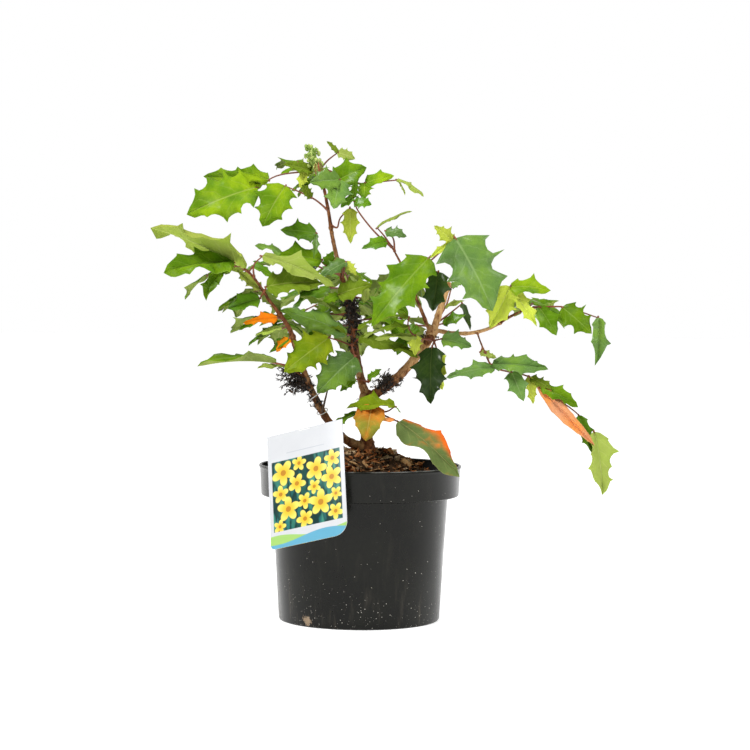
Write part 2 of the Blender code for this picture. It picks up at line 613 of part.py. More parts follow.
class Leaflet:
    """One toothed leaflet: where it starts, which way it points and faces, and how long it is."""

    def __init__(self, root, ahead, face, length, wide=1.0):
        self.root = root - ahead * ROOT_SINK
        self.ahead = ahead
        self.face = (face - ahead * face.dot(ahead)).normalized()
        self.across = self.ahead.cross(self.face)
        self.length = length
        self.half_width = length * LEAF_WIDTH * wide / 2

    def point(self, t, side, off):
        """A point at a share of the length, a share of the half width and a distance off the middle."""
        turn = math.radians(LEAF_DROOP)
        reach = self.length * math.sin(turn * t) / turn
        drop = self.length * (1 - math.cos(turn * t)) / turn
        normal = self.face * math.cos(turn * t) + self.ahead * math.sin(turn * t)
        half = side * self.half_width
        fold = math.radians(LEAF_FOLD)
        centre = self.root + self.ahead * reach - self.face * drop
        return centre + self.across * half * math.cos(fold) + normal * (abs(half) * math.sin(fold) + off)

    def edge(self, side, off, grow=0.0):
        """The toothed edge on one side, from the root to the tip."""
        made = []
        for i, (t, width) in enumerate(side_stations()):
            lift = TOOTH_LIFT * self.length * (1 if i % 2 else -0.5)
            made.append((t, self.point(t, side * (width + grow), off + lift)))
        return made

    def layer(self, off, grow=0.0):
        """Both edges and the midrib at a distance off the middle surface."""
        midrib = [(t, self.point(t, 0, off)) for t in MIDRIB_STATIONS]
        return self.edge(1, off, grow), midrib, self.edge(-1, off, grow)

    def closed(self, start=0.0):
        """Corners and faces of the solid leaflet from a share of its length on, sharp at the edge."""
        half = self.length * LEAF_THICKNESS / 2
        left, right = ([c for c in self.edge(side, 0) if c[0] > start] for side in (1, -1))
        upper, lower = ([c for c in self.layer(off)[1] if c[0] > start] for off in (half, -half))
        root, tip = (start, self.point(start, 0, 0)), (1.0, self.point(1, 0, 0))
        corners = [root, tip] + left + upper + right + lower
        n, m = len(left), len(upper)
        index = {"left": range(2, 2 + n), "upper": range(2 + n, 2 + n + m),
                 "right": range(2 + n + m, 2 + 2 * n + m), "lower": range(2 + 2 * n + m, 2 + 2 * n + 2 * m)}
        faces = []
        for edge in ("left", "right"):
            for rib in ("upper", "lower"):
                faces += zip_faces([0, *index[rib], 1], [0, *index[edge], 1], corners)
        return [c[1] for c in corners], faces

    def padded(self):
        """Corners and faces of a sheath round the leaflet, which nothing else may cross."""
        corners, faces = [], []
        grow = CLEARANCE / self.half_width
        for off in (-CLEARANCE, CLEARANCE):
            left, rib, right = self.layer(off + math.copysign(self.length * LEAF_THICKNESS / 2, off), grow)
            start = len(corners)
            near = (SHEATH_START, self.point(SHEATH_START, 0, off))
            far = (1.0, self.point(1.0 + grow, 0, off))
            corners += [near, far] + left + rib + right
            n, m = len(left), len(rib)
            ribs = [start, *range(start + 2 + n, start + 2 + n + m), start + 1]
            for first in (start + 2, start + 2 + n + m):
                faces += zip_faces(ribs, [start, *range(first, first + n), start + 1], corners)
        return [c[1] for c in corners], faces


def zip_faces(chain_a, chain_b, corners):
    """Triangles between two chains that share their ends, stepping along by share of the length."""
    faces = []
    i = k = 0
    while i < len(chain_a) - 1 or k < len(chain_b) - 1:
        ahead_a = corners[chain_a[i + 1]][0] if i < len(chain_a) - 1 else 9
        ahead_b = corners[chain_b[k + 1]][0] if k < len(chain_b) - 1 else 9
        if ahead_a <= ahead_b:
            face = (chain_a[i], chain_a[i + 1], chain_b[k])
            i += 1
        else:
            face = (chain_a[i], chain_b[k + 1], chain_b[k])
            k += 1
        if len(set(face)) == 3:
            faces.append(face)
    return faces


def point_on(points, share):
    """The point at a share of the line, counted by its corners."""
    place = share * (len(points) - 1)
    low = min(int(place), len(points) - 2)
    return points[low].lerp(points[low + 1], place - low)


def rachis_points(stem, leaf):
    """The leaf's own stalk: it starts inside the stem and bends evenly along its length."""
    point = point_on(stem, leaf.at)
    made = [point]
    if isinstance(leaf, Spray):
        return made + [Vector(place) * MM for place in leaf.line]
    steps = RACHIS_STEPS + int(leaf.length / RACHIS_STEP)
    step = leaf.length / steps
    for i in range(steps):
        share = (i + 0.5) / steps
        point = point + direction(leaf.heading, leaf.rise + leaf.bend * share) * step
        made.append(point)
    return made


def placed_leaflet(blade, points):
    """The leaflet that reaches from its share of the stalk to its own tip."""
    root = point_on(points, blade.share)
    chord = Vector(blade.tip) * MM - root
    half_droop = math.radians(LEAF_DROOP) / 2
    length = chord.length * half_droop / math.sin(half_droop)
    level = chord.normalized()
    face = Vector(blade.face)
    face = (face - level * face.dot(level)).normalized()
    ahead = level * math.cos(half_droop) + face * math.sin(half_droop)
    normal = face * math.cos(half_droop) - level * math.sin(half_droop)
    return Leaflet(root, ahead, normal, length, blade.wide)


def leaflets_of(leaf, points, dice):
    """For each leaflet of the plan, the choices of place and turn that it may take, best first."""
    if isinstance(leaf, Spray):
        yield from ([placed_leaflet(blade, points)] for blade in leaf.blades)
        return
    joints = leaf.plan.split()
    for i, joint in enumerate(joints):
        share = 1.0 if len(joints) == 1 else leaf.first + (1 - leaf.first) * i / (len(joints) - 1)
        root = point_on(points, share)
        low = min(int(share * (len(points) - 1)), len(points) - 2)
        along = (points[low + 1] - points[low]).normalized()
        level = along.cross(UP).normalized()
        roll = math.radians(leaf.roll)
        right = level * math.cos(roll) - level.cross(along) * math.sin(roll)
        normal = right.cross(along)
        for letter in joint:
            spread_off, hang_off, twist = (dice.uniform(-WOBBLE, WOBBLE) for _ in range(3))
            length = leaf.size * (1 + dice.uniform(-SIZE_WOBBLE, SIZE_WOBBLE))
            choices = []
            for more_hang, more_spread in TURNS:
                if letter == "T":
                    dip = math.radians(leaf.dip + 0.5 * (hang_off + more_hang))
                    swing = math.radians(leaf.turn + 0.5 * spread_off + more_spread)
                    onward = along * math.cos(swing) + right * math.sin(swing)
                    ahead = onward * math.cos(dip) - normal * math.sin(dip)
                    face = normal * math.cos(dip) + onward * math.sin(dip)
                    size = length
                    lean = twist + leaf.twist
                else:
                    side = right if letter == "R" else -right
                    hang = math.radians(leaf.hang + hang_off + more_hang)
                    spread = math.radians(leaf.spread + spread_off + more_spread)
                    outward = side * math.cos(hang) - normal * math.sin(hang)
                    ahead = along * math.cos(spread) + outward * math.sin(spread)
                    face = normal * math.cos(hang) + side * math.sin(hang)
                    size = length * leaf.share
                    lean = twist
                face = Matrix.Rotation(math.radians(lean), 3, ahead) @ face
                choices.append(Leaflet(root, ahead.normalized(), face, size))
            yield choices


def clear_of(shape, trees):
    """True where the shape crosses none of the surfaces."""
    corners, faces = shape
    sheath = BVHTree.FromPolygons(corners, faces)
    return not any(sheath.overlap(other) for other in trees)


def tube_shape(points, radius):
    """Corners and faces of a plain tube along the points."""
    bm = bmesh.new()
    add_tube(bm, points, [radius] * len(points), STALK_SIDES)
    bm.verts.ensure_lookup_table()
    bm.verts.index_update()
    corners = [v.co.copy() for v in bm.verts]
    faces = [[v.index for v in f.verts] for f in bm.faces]
    bm.free()
    return corners, faces


def stem_points(mass):
    """The mass's stem, from its bough's tip or from the bark of the limb that carries it."""
    if not isinstance(mass.foot[0], str):
        return curve(mass.foot, mass.bend, mass.tip, STEM_POINTS)
    name, share = mass.foot
    limb = LIMBS[name]
    foot, bend, tip = Vector(limb.foot), Vector(limb.bend), Vector(limb.tip)
    point = foot * (1 - share) ** 2 + bend * 2 * share * (1 - share) + tip * share * share
    along = ((bend - foot) * (1 - share) + (tip - bend) * share).normalized()
    toward = (Vector(mass.bend) - point).normalized()
    side = (toward - along * toward.dot(along)).normalized()
    slant = math.sqrt(max(0, 1 - toward.dot(side) ** 2))
    start = point + side * (limb_radius(name, limb, share, point.z) + BARK_GAP + mass.thick * slant)
    return curve(start, mass.bend, mass.tip, STEM_POINTS)


def grow_mass(mass, limb_trees, other_trees):
    """The mass's stem, the stalks and the leaflets that find room: in its reach and clear of the rest."""
    dice = random.Random(mass.seed)
    stem = stem_points(mass)
    centre = (stem[0] + stem[-1]) / 2
    stalks, leaflets, own_trees = [], [], []
    for leaf in mass.leaves:
        points = rachis_points(stem, leaf)
        inside = all((p - centre).length < mass.reach for p in points)
        clear_start = points[0] + (points[1] - points[0]).normalized() * STALK_START
        sheath = tube_shape([clear_start] + points[1:], RACHIS_RADIUS + CLEARANCE)
        room = inside and clear_of(sheath, limb_trees + other_trees)
        if room:
            stalks.append(points)
        for choices in leaflets_of(leaf, points, dice):
            if not room:
                continue
            within = [c for c in choices if (c.point(1, 0, 0) - centre).length < mass.reach]
            fits = [c for c in within if clear_of(c.padded(), limb_trees + other_trees)]
            if fits:
                fits = fits[:1] if isinstance(leaf, Leaf) and leaf.plan == "T" else fits[:NEAR_TURNS]
                blades = [BVHTree.FromPolygons(*c.closed(BLADE_START)) for c in fits]
                crossed = [sum(len(blade.overlap(own)) for own in own_trees) for blade in blades]
                best = crossed.index(min(crossed))
                leaflets.append(fits[best])
                own_trees.append(blades[best])
        if room:
            own_trees.append(BVHTree.FromPolygons(*sheath))
    return stem, stalks, leaflets


def build_mass(name, mass, limb_trees, other_trees):
    """One fused mass: every stalk and leaflet is joined to the mass's stem."""
    stem, stalks, leaflets = grow_mass(mass, limb_trees, other_trees)
    bm = bmesh.new()
    radii = [mass.thick + (mass.thin - mass.thick) * i / (len(stem) - 1) for i in range(len(stem))]
    add_tube(bm, stem, radii, STEM_SIDES)
    made = new_object(name, bm, LEAF_FINISH)
    parts = bpy.data.collections.new(name + "_parts")
    bpy.context.scene.collection.children.link(parts)
    for points in stalks:
        bm = bmesh.new()
        radii = [RACHIS_RADIUS + (RACHIS_TIP_RADIUS - RACHIS_RADIUS) * i / (len(points) - 1)
                 for i in range(len(points))]
        add_tube(bm, points, radii, STALK_SIDES)
        move_to(parts, new_object("stalk", bm))
    if name == "top_foliage":
        add_spike(parts)
    for leaflet in leaflets:
        corners, faces = leaflet.closed()
        bm = bmesh.new()
        verts = [bm.verts.new(c) for c in corners]
        for face in faces:
            bm.faces.new([verts[i] for i in face])
        move_to(parts, new_object("leaflet", bm))
    apply_boolean(made, "UNION", tools=parts, solver="MANIFOLD")
    keep_largest(made)
    return made


def add_spike(parts):
    """The upright cluster of flower buds beside the stem's tip: a knobbly tapering body."""
    points = curve(*SPIKE_PATH, len(SPIKE_WIDTHS))
    bm = bmesh.new()
    add_tube(bm, points, [SPIKE_RADIUS * width for width in SPIKE_WIDTHS], STEM_SIDES)
    move_to(parts, new_object("spike", bm))


def move_to(collection, item):
    """Put the object in the collection and take it out of the scene's own."""
    collection.objects.link(item)
    bpy.context.scene.collection.objects.unlink(item)


def keep_largest(made):
    """Drop loose scraps and the walls of sealed hollows, so that one body is left."""
    bm = bmesh.new()
    bm.from_mesh(made.data)
    waiting = set(bm.verts)
    shells = []
    while waiting:
        shell, edge = set(), [waiting.pop()]
        while edge:
            vert = edge.pop()
            shell.add(vert)
            for link in vert.link_edges:
                other = link.other_vert(vert)
                if other in waiting:
                    waiting.discard(other)
                    edge.append(other)
        shells.append(shell)
    shells.sort(key=len, reverse=True)
    scraps = [v for shell in shells[1:] for v in shell]
    bmesh.ops.delete(bm, geom=scraps, context="VERTS")
    bm.to_mesh(made.data)
    bm.free()


def main():
    for item in list(bpy.data.objects):
        bpy.data.objects.remove(item)
    solids = [build_pot(), build_soil(), build_label()]
    solids += [build_limb(name, limb) for name, limb in LIMBS.items()]
    limb_trees = [tree(made) for made in solids]
    other_trees = []
    for name, mass in MASSES.items():
        made = build_mass(name, mass, limb_trees, other_trees)
        other_trees.append(tree(made))


main()
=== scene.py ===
"""The looks of an Oregon grape shrub in its nursery pot.

Stems with bark relief, toothed leaves, flower buds, bark mulch, the pot and its plant label, then floor, light
and camera. Metres, +Z up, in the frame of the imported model.
"""
import math
import random
from collections import namedtuple

import bmesh
import bpy
from mathutils import Matrix, Vector, noise
from mathutils.bvhtree import BVHTree
from mathutils.kdtree import KDTree


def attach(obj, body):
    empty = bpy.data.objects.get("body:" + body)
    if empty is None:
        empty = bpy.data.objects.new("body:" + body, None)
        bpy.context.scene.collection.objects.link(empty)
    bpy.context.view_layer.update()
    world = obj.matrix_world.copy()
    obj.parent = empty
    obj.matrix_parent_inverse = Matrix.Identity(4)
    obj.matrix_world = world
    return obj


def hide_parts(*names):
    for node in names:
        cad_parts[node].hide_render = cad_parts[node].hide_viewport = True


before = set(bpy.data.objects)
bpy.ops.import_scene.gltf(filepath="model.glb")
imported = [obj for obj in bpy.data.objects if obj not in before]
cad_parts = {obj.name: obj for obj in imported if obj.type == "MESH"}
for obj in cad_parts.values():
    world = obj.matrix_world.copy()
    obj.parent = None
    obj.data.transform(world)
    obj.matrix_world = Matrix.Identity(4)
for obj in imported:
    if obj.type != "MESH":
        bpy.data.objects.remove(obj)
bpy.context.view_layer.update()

UP = Vector((0, 0, 1))
MM = 0.001

# Camera, fitted to the pot's ellipses in a frame of 750 pixels a side
FRAME_PIXELS = 750
FOCAL_PIXELS = 2148.2
SENSOR_MM = 36
CAMERA_PLACE = Vector((0.0132, -2.0333, 0.3051))
CAMERA_PITCH = 2.07
CAMERA_ROLL = 0.54

# Pot, mulch and label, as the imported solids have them
POT_HEIGHT = 0.147
POT_WALL = 0.0016
POT_FLOOR = 0.0025
BASE_RADIUS = 0.0763
BODY_RADIUS = 0.0833
COLLAR_BOTTOM = 0.118
COLLAR_RADIUS = 0.0937
RIM_RADIUS = 0.0950
LIP = 0.0008
DRAIN_HOLES = 6
DRAIN_RADIUS = 0.005
DRAIN_CIRCLE = 0.056
SOIL_EDGE = 0.132
SOIL_TOP = 0.160
SOIL_FLAT_RADIUS = 0.017
GAP = 0.0003
BARK_GAP = 0.0005
LABEL_WIDTH = 0.080
LABEL_HEIGHT = 0.109
LABEL_THICKNESS = 0.0008
LABEL_CENTRE = Vector((-0.048, -0.0895, 0.135))
LABEL_YAW = 31
LABEL_LEAN = 19
LABEL_ROLL = 15
LABEL_BIG_CORNER = 0.013
LABEL_SMALL_CORNER = 0.004
STRIP_WIDTH = 0.012
STRIP_FOOT = Vector((-0.044, -0.056, 0.095))

# Limbs: foot, the corner that the limb bends towards, tip, and the radius at foot and tip
Limb = namedtuple("Limb", "foot bend tip thick thin")
LIMBS = {
    "trunk": Limb((0.006, 0.0, SOIL_TOP + GAP), (0.006, 0.0, 0.185), (0.005, 0.001, 0.209), 0.0060, 0.0060),
    "centre_bough": Limb(
        (0.004, 0.001, 0.2125), (-0.003, 0.002, 0.234), (-0.007, 0.005, 0.2545), 0.0040, 0.0033),
    "upper_bough": Limb(
        (-0.022, 0.010, 0.3345), (-0.027, 0.011, 0.353), (-0.030, 0.012, 0.3705), 0.0025, 0.0022),
    "left_bough": Limb(
        (-0.0035, -0.0022, 0.1655), (-0.036, -0.013, 0.174), (-0.064, -0.030, 0.2675), 0.0046, 0.0028),
    "left_upper_bough": Limb(
        (-0.076, -0.033, 0.2885), (-0.082, -0.034, 0.297), (-0.087, -0.035, 0.3027), 0.0022, 0.0018),
    "right_bough": Limb(
        (0.0115, -0.0015, 0.2125), (0.042, -0.012, 0.230), (0.0655, -0.020, 0.271), 0.0048, 0.0042),
    "upright_bough": Limb(
        (0.0625, -0.0215, 0.2775), (0.053, -0.027, 0.301), (0.0405, -0.030, 0.3285), 0.0022, 0.0017),
    "cut_stub": Limb(
        (0.0690, -0.0172, 0.2786), (0.075, -0.011, 0.298), (0.082, -0.006, 0.320), 0.0038, 0.0031),
    "outer_bough": Limb(
        (0.0720, -0.0215, 0.2745), (0.105, -0.031, 0.267), (0.129, -0.033, 0.2825), 0.0024, 0.0019),
    "back_bough": Limb(
        (0.0045, 0.0085, 0.2130), (-0.005, 0.050, 0.240), (-0.012, 0.088, 0.299), 0.0040, 0.0026),
}
SPIKE_PATH = ((-0.0400, 0.010, 0.4215), (-0.047, 0.009, 0.433), (-0.0525, 0.008, 0.4490))
SPIKE_RADIUS = 0.0056
KNOT_SWELL = {"trunk": 0.0012, "right_bough": 0.0012}
ROOT_FLARE = 0.0042
FLARE_HEIGHT = 0.016

# Leaves: each is a rachis with toothed leaflets in pairs and one at its end
# plan names the leaflets at each joint of the rachis: L and R for its sides, T for the end
Leaf = namedtuple("Leaf", "at heading rise length size plan bend spread hang roll share first turn dip twist tint",
                  defaults=("LR LR T", -22, 62, 18, 0, 0.9, 0.42, 0, 8, 0, ""))
# A spray is a leaf whose stalk and leaflets are set one by one, in millimetres
# Each blade: its root's share of the line, its tip, where its upper side faces, and how wide it is
Spray = namedtuple("Spray", "at line blades tint", defaults=("",))
Blade = namedtuple("Blade", "share tip face wide tint", defaults=(1.0, ""))
# A mass's stem starts at the tip of its bough, or on the bark of a limb at a share of the limb's length
Mass = namedtuple("Mass", "foot bend tip thick thin reach seed tint leaves")

STEM_POINTS = 5
RACHIS_RADIUS = 0.0010
RACHIS_TIP_RADIUS = 0.0006
RACHIS_STEPS = 2
RACHIS_STEP = 0.035
STALK_SIDES = 3
STALK_START = 0.004
LEAF_WIDTH = 0.66
LEAF_THICKNESS = 0.013
LEAF_DROOP = 22
LEAF_FOLD = 13
ROOT_SINK = 0.0005
SHOULDER = 0.07
SHOULDER_FILL = 0.8
TEETH = 2
FIRST_TOOTH = 0.30
TOOTH_SPACING = 0.34
NOTCH_AFTER = 0.13
TOOTH_DEPTH = 0.16
TOOTH_LIFT = 0.03
MIDRIB_STATIONS = (0.05, 0.45, 0.80)
SHEATH_START = 0.03
BLADE_START = 0.2
CLEARANCE = 0.0005
WOBBLE = 7
SIZE_WOBBLE = 0.10
TURNS = ((0, 0), (14, 0), (-14, 0), (0, 14), (0, -14), (28, 0), (-28, 0), (20, 20), (-20, -20), (42, 10))
NEAR_TURNS = 5

MASSES = {
    "top_foliage": Mass(
        (-0.030, 0.012, 0.3710), (-0.034, 0.012, 0.398), (-0.041, 0.010, 0.425), 0.0022, 0.0016, 0.165, 11,
        "fresh", (
        Spray(0.98, ((-60, 8, 423), (-82, 5, 419), (-100, 2, 408)), (
            Blade(1.00, (-166, -8, 381), (-2, -9, 4), 1.1),
            Blade(0.80, (-120, 6, 424), (1, -8, 5), 1.0),
            Blade(0.90, (-153, 22, 419), (1, -9, 3), 0.55),
            Blade(0.12, (-76, 6, 430), (0, -7, 7), 1.1, "olive"),
            Blade(0.26, (-59, 2, 407), (1, -9, 2), 1.1, "lime"))),
        Spray(0.30, ((-45, 6, 397), (-60, 0, 404), (-73, -4, 409)), (
            Blade(1.00, (-94, -14, 370), (-3, -9, 2), 1.4),
            Blade(0.42, (-58, -3, 411), (0, -8, 5), 1.1, "olive"))),
        Spray(0.92, ((-34, 0, 424), (-22, -8, 415)), (
            Blade(1.00, (-50, -18, 412), (0, -9, 3), 1.35, "blue"),
            Blade(1.00, (-27, -19, 387), (1, -9, 3), 1.5, "blue"))),
        Spray(0.97, ((-30, 8, 424), (-27, 5, 414)), (
            Blade(1.00, (4, 4, 428), (1, -9, 4), 1.6, "green"),)),
        Spray(0.95, ((-4, 8, 413), (3, 5, 413), (22, 3, 415), (32, 2, 416)), (
            Blade(0.48, (30, -3, 420), (0, -8, 5), 0.9),
            Blade(0.46, (1, -4, 397), (0, -10, 1), 1.5),
            Blade(1.00, (40, -4, 401), (9, -3, 4), 0.6, "pale"),
            Blade(1.00, (58, -2, 400), (5, -2, 8), 0.5, "pale"))),
        Spray(1.00, ((-34, 10, 434), (-24, 10, 442)), (
            Blade(1.00, (-35, 8, 453), (0, -8, 6), 0.7, "olive"),
            Blade(1.00, (-7, 12, 436), (0, -9, 4), 1.2, "pale"))),
        Spray(0.05, ((-24, 8, 371), (-21, 5, 380), (-12, 3, 389)), (
            Blade(1.00, (-11, -3, 355), (0, -10, 1), 0.8, "lime"),)),
        Leaf(0.75, 95, 26, 0.052, 0.042, tint="green"),
        Leaf(0.85, 125, 34, 0.046, 0.038, "LR T", tint="green"),
    )),
    "upper_right_foliage": Mass(
        (0.040, -0.030, 0.3292), (0.034, -0.027, 0.342), (0.028, -0.022, 0.352), 0.0016, 0.0012, 0.14, 12,
        "green", (
        Spray(1.00, ((12, -14, 366), (-4, -6, 386), (-9, -4, 399)), (
            Blade(0.90, (9, -10, 392), (0, -9, 4), 1.4, "deep"),
            Blade(1.00, (-21, -6, 389), (0, -8, 5), 1.1, "deep"),
            Blade(1.00, (-7, -10, 414), (1, -9, 3), 0.9))),
        Spray(1.00, ((21, -21, 362), (14, -20, 370)), (
            Blade(1.00, (47, -24, 386), (-2, -4, 9), 0.45, "pale"),)),
        Spray(0.80, ((29, -27, 360), (22, -29, 367)), (
            Blade(1.00, (42, -33, 362), (0, -8, 6), 1.15, "blue"),)),
        Spray(1.00, ((23, -26, 357),), (
            Blade(1.00, (-1, -30, 350), (0, -8, 6), 1.05, "deep"),)),
        Spray(0.04, ((48, -38, 336), (62, -46, 342)), (
            Blade(1.00, (9, -66, 278), (-2, -9, 3), 0.85),)),
        Spray(0.07, ((56, -40, 334), (73, -48, 348), (86, -52, 360)), (
            Blade(1.00, (121, -58, 293), (2, -9, 4), 1.3, "blue"),
            Blade(0.93, (66, -50, 372), (0, -8, 5), 1.2, "lime"),
            Blade(0.90, (62, -54, 341), (0, -9, 4), 0.5, "lime"))),
        Spray(0.10, ((56, -37, 333), (71, -38, 329)), (
            Blade(1.00, (66, -42, 292), (0, -9, 3), 1.15, "dark"),)),
        Leaf(0.30, 95, -5, 0.060, 0.042, hang=30, tint="green deep"),
    )),
    "left_foliage": Mass(
        (-0.087, -0.035, 0.3032), (-0.103, -0.038, 0.330), (-0.116, -0.042, 0.336), 0.0018, 0.0011, 0.14, 13,
        "green", (
        Spray(0.55, ((-108, -39, 329),), (
            Blade(1.00, (-194, -65, 367), (3, 3, 9), 1.0, "under"),)),
        Spray(0.12, ((-95, -31, 303),), (
            Blade(1.00, (-125, -34, 293), (0, -8, 5), 1.1, "deep"),)),
        Leaf(1.00, -150, 2, 0.004, 0.065, "T", bend=0, dip=0, twist=-32, tint="green"),
        Leaf(0.85, 158, -4, 0.036, 0.034, "LR LR T", roll=-20),
        Spray(0.42, ((-100, -41, 334), (-92, -44, 342)), (
            Blade(1.00, (-25, -38, 315), (1, -6, 8), 0.55, "pale"),)),
        Spray(0.12, ((-88, -42, 314),), (
            Blade(1.00, (-37, -37, 318), (0, -7, 7), 1.15, "olive"),)),
        Spray(0.25, ((-94, -31, 312),), (
            Blade(1.00, (-117, -28, 330), (-6, -6, 5), 0.7, "under"),)),
        Leaf(0.60, 70, 30, 0.026, 0.030, "LR T", hang=30, tint="deep"),
        Leaf(0.15, 110, 5, 0.050, 0.042),
    )),
    "left_middle_foliage": Mass(
        (-0.0641, -0.0301, 0.2680), (-0.068, -0.032, 0.279), (-0.0757, -0.0329, 0.2880), 0.0027, 0.0023, 0.11, 14,
        "deep", (
        Spray(0.75, ((-78, -37, 285),), (
            Blade(1.00, (-110, -42, 280), (0, -7, 7), 0.7, "orange"),)),
        Spray(0.45, ((-74, -36, 275),), (
            Blade(1.00, (-99, -40, 268), (0, -4, 8), 0.7, "pale"),)),
        Spray(0.05, ((-67, -35, 266),), (
            Blade(1.00, (-79, -38, 253), (-3, -8, 5), 1.3, "orange"),
            Blade(1.00, (-86, -33, 252), (0, -7, 7), 0.8, "deep"))),
        Leaf(0.90, 140, 10, 0.034, 0.034, "LR T", tint="green"),
        Leaf(0.50, 100, 8, 0.050, 0.042),
    )),
    "centre_foliage": Mass(
        (-0.007, 0.005, 0.2550), (-0.009, 0.008, 0.292), (-0.022, 0.010, 0.3340), 0.0032, 0.0026, 0.12, 15,
        "green deep", (
        Leaf(0.04, -135, 20, 0.034, 0.062, "T", bend=-10, dip=44, twist=-62, tint="gold"),
        Spray(0.06, ((-9, -8, 260), (-6, -14, 249)), (
            Blade(1.00, (-41, -32, 215), (-1, -9, 3), 1.15, "blue"),)),
        Spray(0.18, ((-14, -2, 270),), (
            Blade(1.00, (-78, -8, 292), (1, -7, 7), 0.75, "blue"),
            Blade(1.00, (-30, -8, 277), (0, -6, 8), 0.9, "olive"))),
        Spray(0.45, ((-20, 0, 289),), (
            Blade(1.00, (-60, 0, 305), (2, -3, 9), 0.7, "shade"),)),
        Spray(0.92, ((-36, 8, 336), (-44, 6, 348), (-44, 4, 365)), (
            Blade(1.00, (-78, -4, 368), (0, -9, 4), 1.05, "deep"),
            Blade(0.45, (-82, -4, 344), (-2, -8, 5), 1.0, "green"),
            Blade(1.00, (-46, -2, 340), (3, -9, 1), 0.5, "blue"),
            Blade(0.30, (-27, -2, 349), (2, -8, 4), 1.0, "deep"))),
        Spray(0.90, ((-42, 4, 334), (-62, 2, 342), (-76, 0, 345)), (
            Blade(1.00, (-102, -4, 353), (0, -4, 9), 0.9, "blue"),
            Blade(0.45, (-44, -6, 326), (0, -8, 6), 0.9, "dark"))),
        Spray(0.86, ((-17, -1, 331), (-15, -3, 338)), (
            Blade(1.00, (-40, -10, 322), (-1, -6, 8), 1.15, "blue"),
            Blade(1.00, (-5, -6, 325), (1, -8, 5), 1.0, "lime"))),
        Spray(0.62, ((-22, 0, 307),), (
            Blade(1.00, (10, -8, 317), (0, -8, 6), 1.25, "olive"),
            Blade(1.00, (-38, -4, 299), (0, -9, 4), 1.0, "green"))),
        Spray(0.60, ((4, 4, 314),), (
            Blade(1.00, (2, 0, 299), (1, -9, 2), 1.1, "pale"),)),
        Spray(0.25, ((-3, -1, 275),), (
            Blade(1.00, (14, -6, 284), (0, -6, 8), 0.8, "olive"),)),
        Spray(0.10, ((-2, -2, 265),), (
            Blade(1.00, (16, -7, 273), (0, -5, 8), 0.7, "pale"),
            Blade(1.00, (54, -32, 249), (0, -4, 9), 0.6, "olive"))),
        Leaf(0.35, 8, 12, 0.048, 0.042, bend=-15, hang=6, tint="olive green"),
        Leaf(0.42, 170, 10, 0.050, 0.042, roll=-20),
        Leaf(0.60, 75, 8, 0.050, 0.044),
        Leaf(0.30, 120, 4, 0.046, 0.042),
    )),
    "fork_back_foliage": Mass(
        ("right_bough", 0.95), (0.066, -0.006, 0.276), (0.069, -0.001, 0.280), 0.0018, 0.0015, 0.12, 16,
        "deep green", (
        Spray(1.00, ((80, 4, 298), (85, 4, 316)), (
            Blade(1.00, (98, -1, 322), (0, -8, 6), 1.1, "blue"),
            Blade(0.45, (98, 0, 303), (0, -5, 8), 0.6, "pale"))),
        Spray(0.90, ((84, 0, 291), (95, 0, 300)), (
            Blade(1.00, (103, -4, 274), (6, -7, 2), 0.7, "dark"),)),
        Spray(0.80, ((77, -2, 281),), (
            Blade(1.00, (99, -6, 290), (0, -8, 6), 1.0, "deep"),)),
        Leaf(0.80, 150, 4, 0.044, 0.040, "LR T", bend=-12, hang=4),
        Leaf(1.00, 110, 10, 0.056, 0.042),
    )),
    "fork_front_foliage": Mass(
        ("right_bough", 0.95), (0.066, -0.031, 0.268), (0.068, -0.035, 0.265), 0.0018, 0.0015, 0.11, 17,
        "dark", (
        Leaf(1.00, -105, -30, 0.010, 0.056, "T", bend=-10, dip=32),
        Leaf(0.90, -60, -50, 0.012, 0.040, "T", bend=-15, dip=20, twist=60, tint="lime"),
        Spray(0.90, ((75, -38, 267),), (
            Blade(1.00, (103, -42, 260), (0, -8, 6), 1.15, "blue"),)),
        Spray(0.60, ((52, -37, 268), (44, -36, 277), (44, -34, 287)), (
            Blade(1.00, (14, -30, 284), (0, -4, 9), 0.8, "olive"),
            Blade(0.70, (15, -34, 275), (0, -6, 8), 0.7, "olive"),
            Blade(0.32, (12, -33, 266), (0, -5, 8), 0.5, "pale"),
            Blade(0.40, (50, -44, 251), (0, -9, 3), 1.1, "lime"))),
    )),
    "outer_foliage": Mass(
        (0.1292, -0.033, 0.2828), (0.147, -0.035, 0.294), (0.159, -0.036, 0.297), 0.0018, 0.0013, 0.13, 18,
        "green", (
        Spray(0.18, ((138, -36, 301), (138, -37, 316)), (
            Blade(1.00, (119, -42, 277), (1, -9, 3), 1.0, "lime"),
            Blade(1.00, (176, -40, 313), (1, -7, 7), 1.15, "fresh"),
            Blade(0.92, (163, -44, 279), (3, -8, 4), 0.75, "lime"))),
        Spray(1.00, ((176, -38, 298), (192, -38, 297), (220, -38, 288)), (
            Blade(0.12, (181, -46, 271), (1, -9, 3), 1.2),
            Blade(0.55, (214, -44, 273), (-1, -9, 4), 1.2),
            Blade(1.00, (217, -42, 243), (6, -7, 3), 0.8, "blue"))),
        Leaf(0.80, 70, 20, 0.046, 0.040),
    )),
    "lower_right_foliage": Mass(
        ("outer_bough", 0.60), (0.112, -0.035, 0.261), (0.115, -0.039, 0.256), 0.0013, 0.0011, 0.19, 19,
        "blue", (
        Spray(1.00, ((124, -40, 241), (156, -42, 233), (171, -43, 220), (199, -43, 201), (217, -42, 182)), (
            Blade(0.20, (78, -60, 232), (0, -7, 7), 0.6),
            Blade(0.16, (174, -48, 240), (0, -7, 7), 0.75),
            Blade(0.30, (151, -51, 210), (-1, -9, 3), 1.1),
            Blade(0.40, (160, -45, 207), (2, -9, 3), 0.7, "lime"),
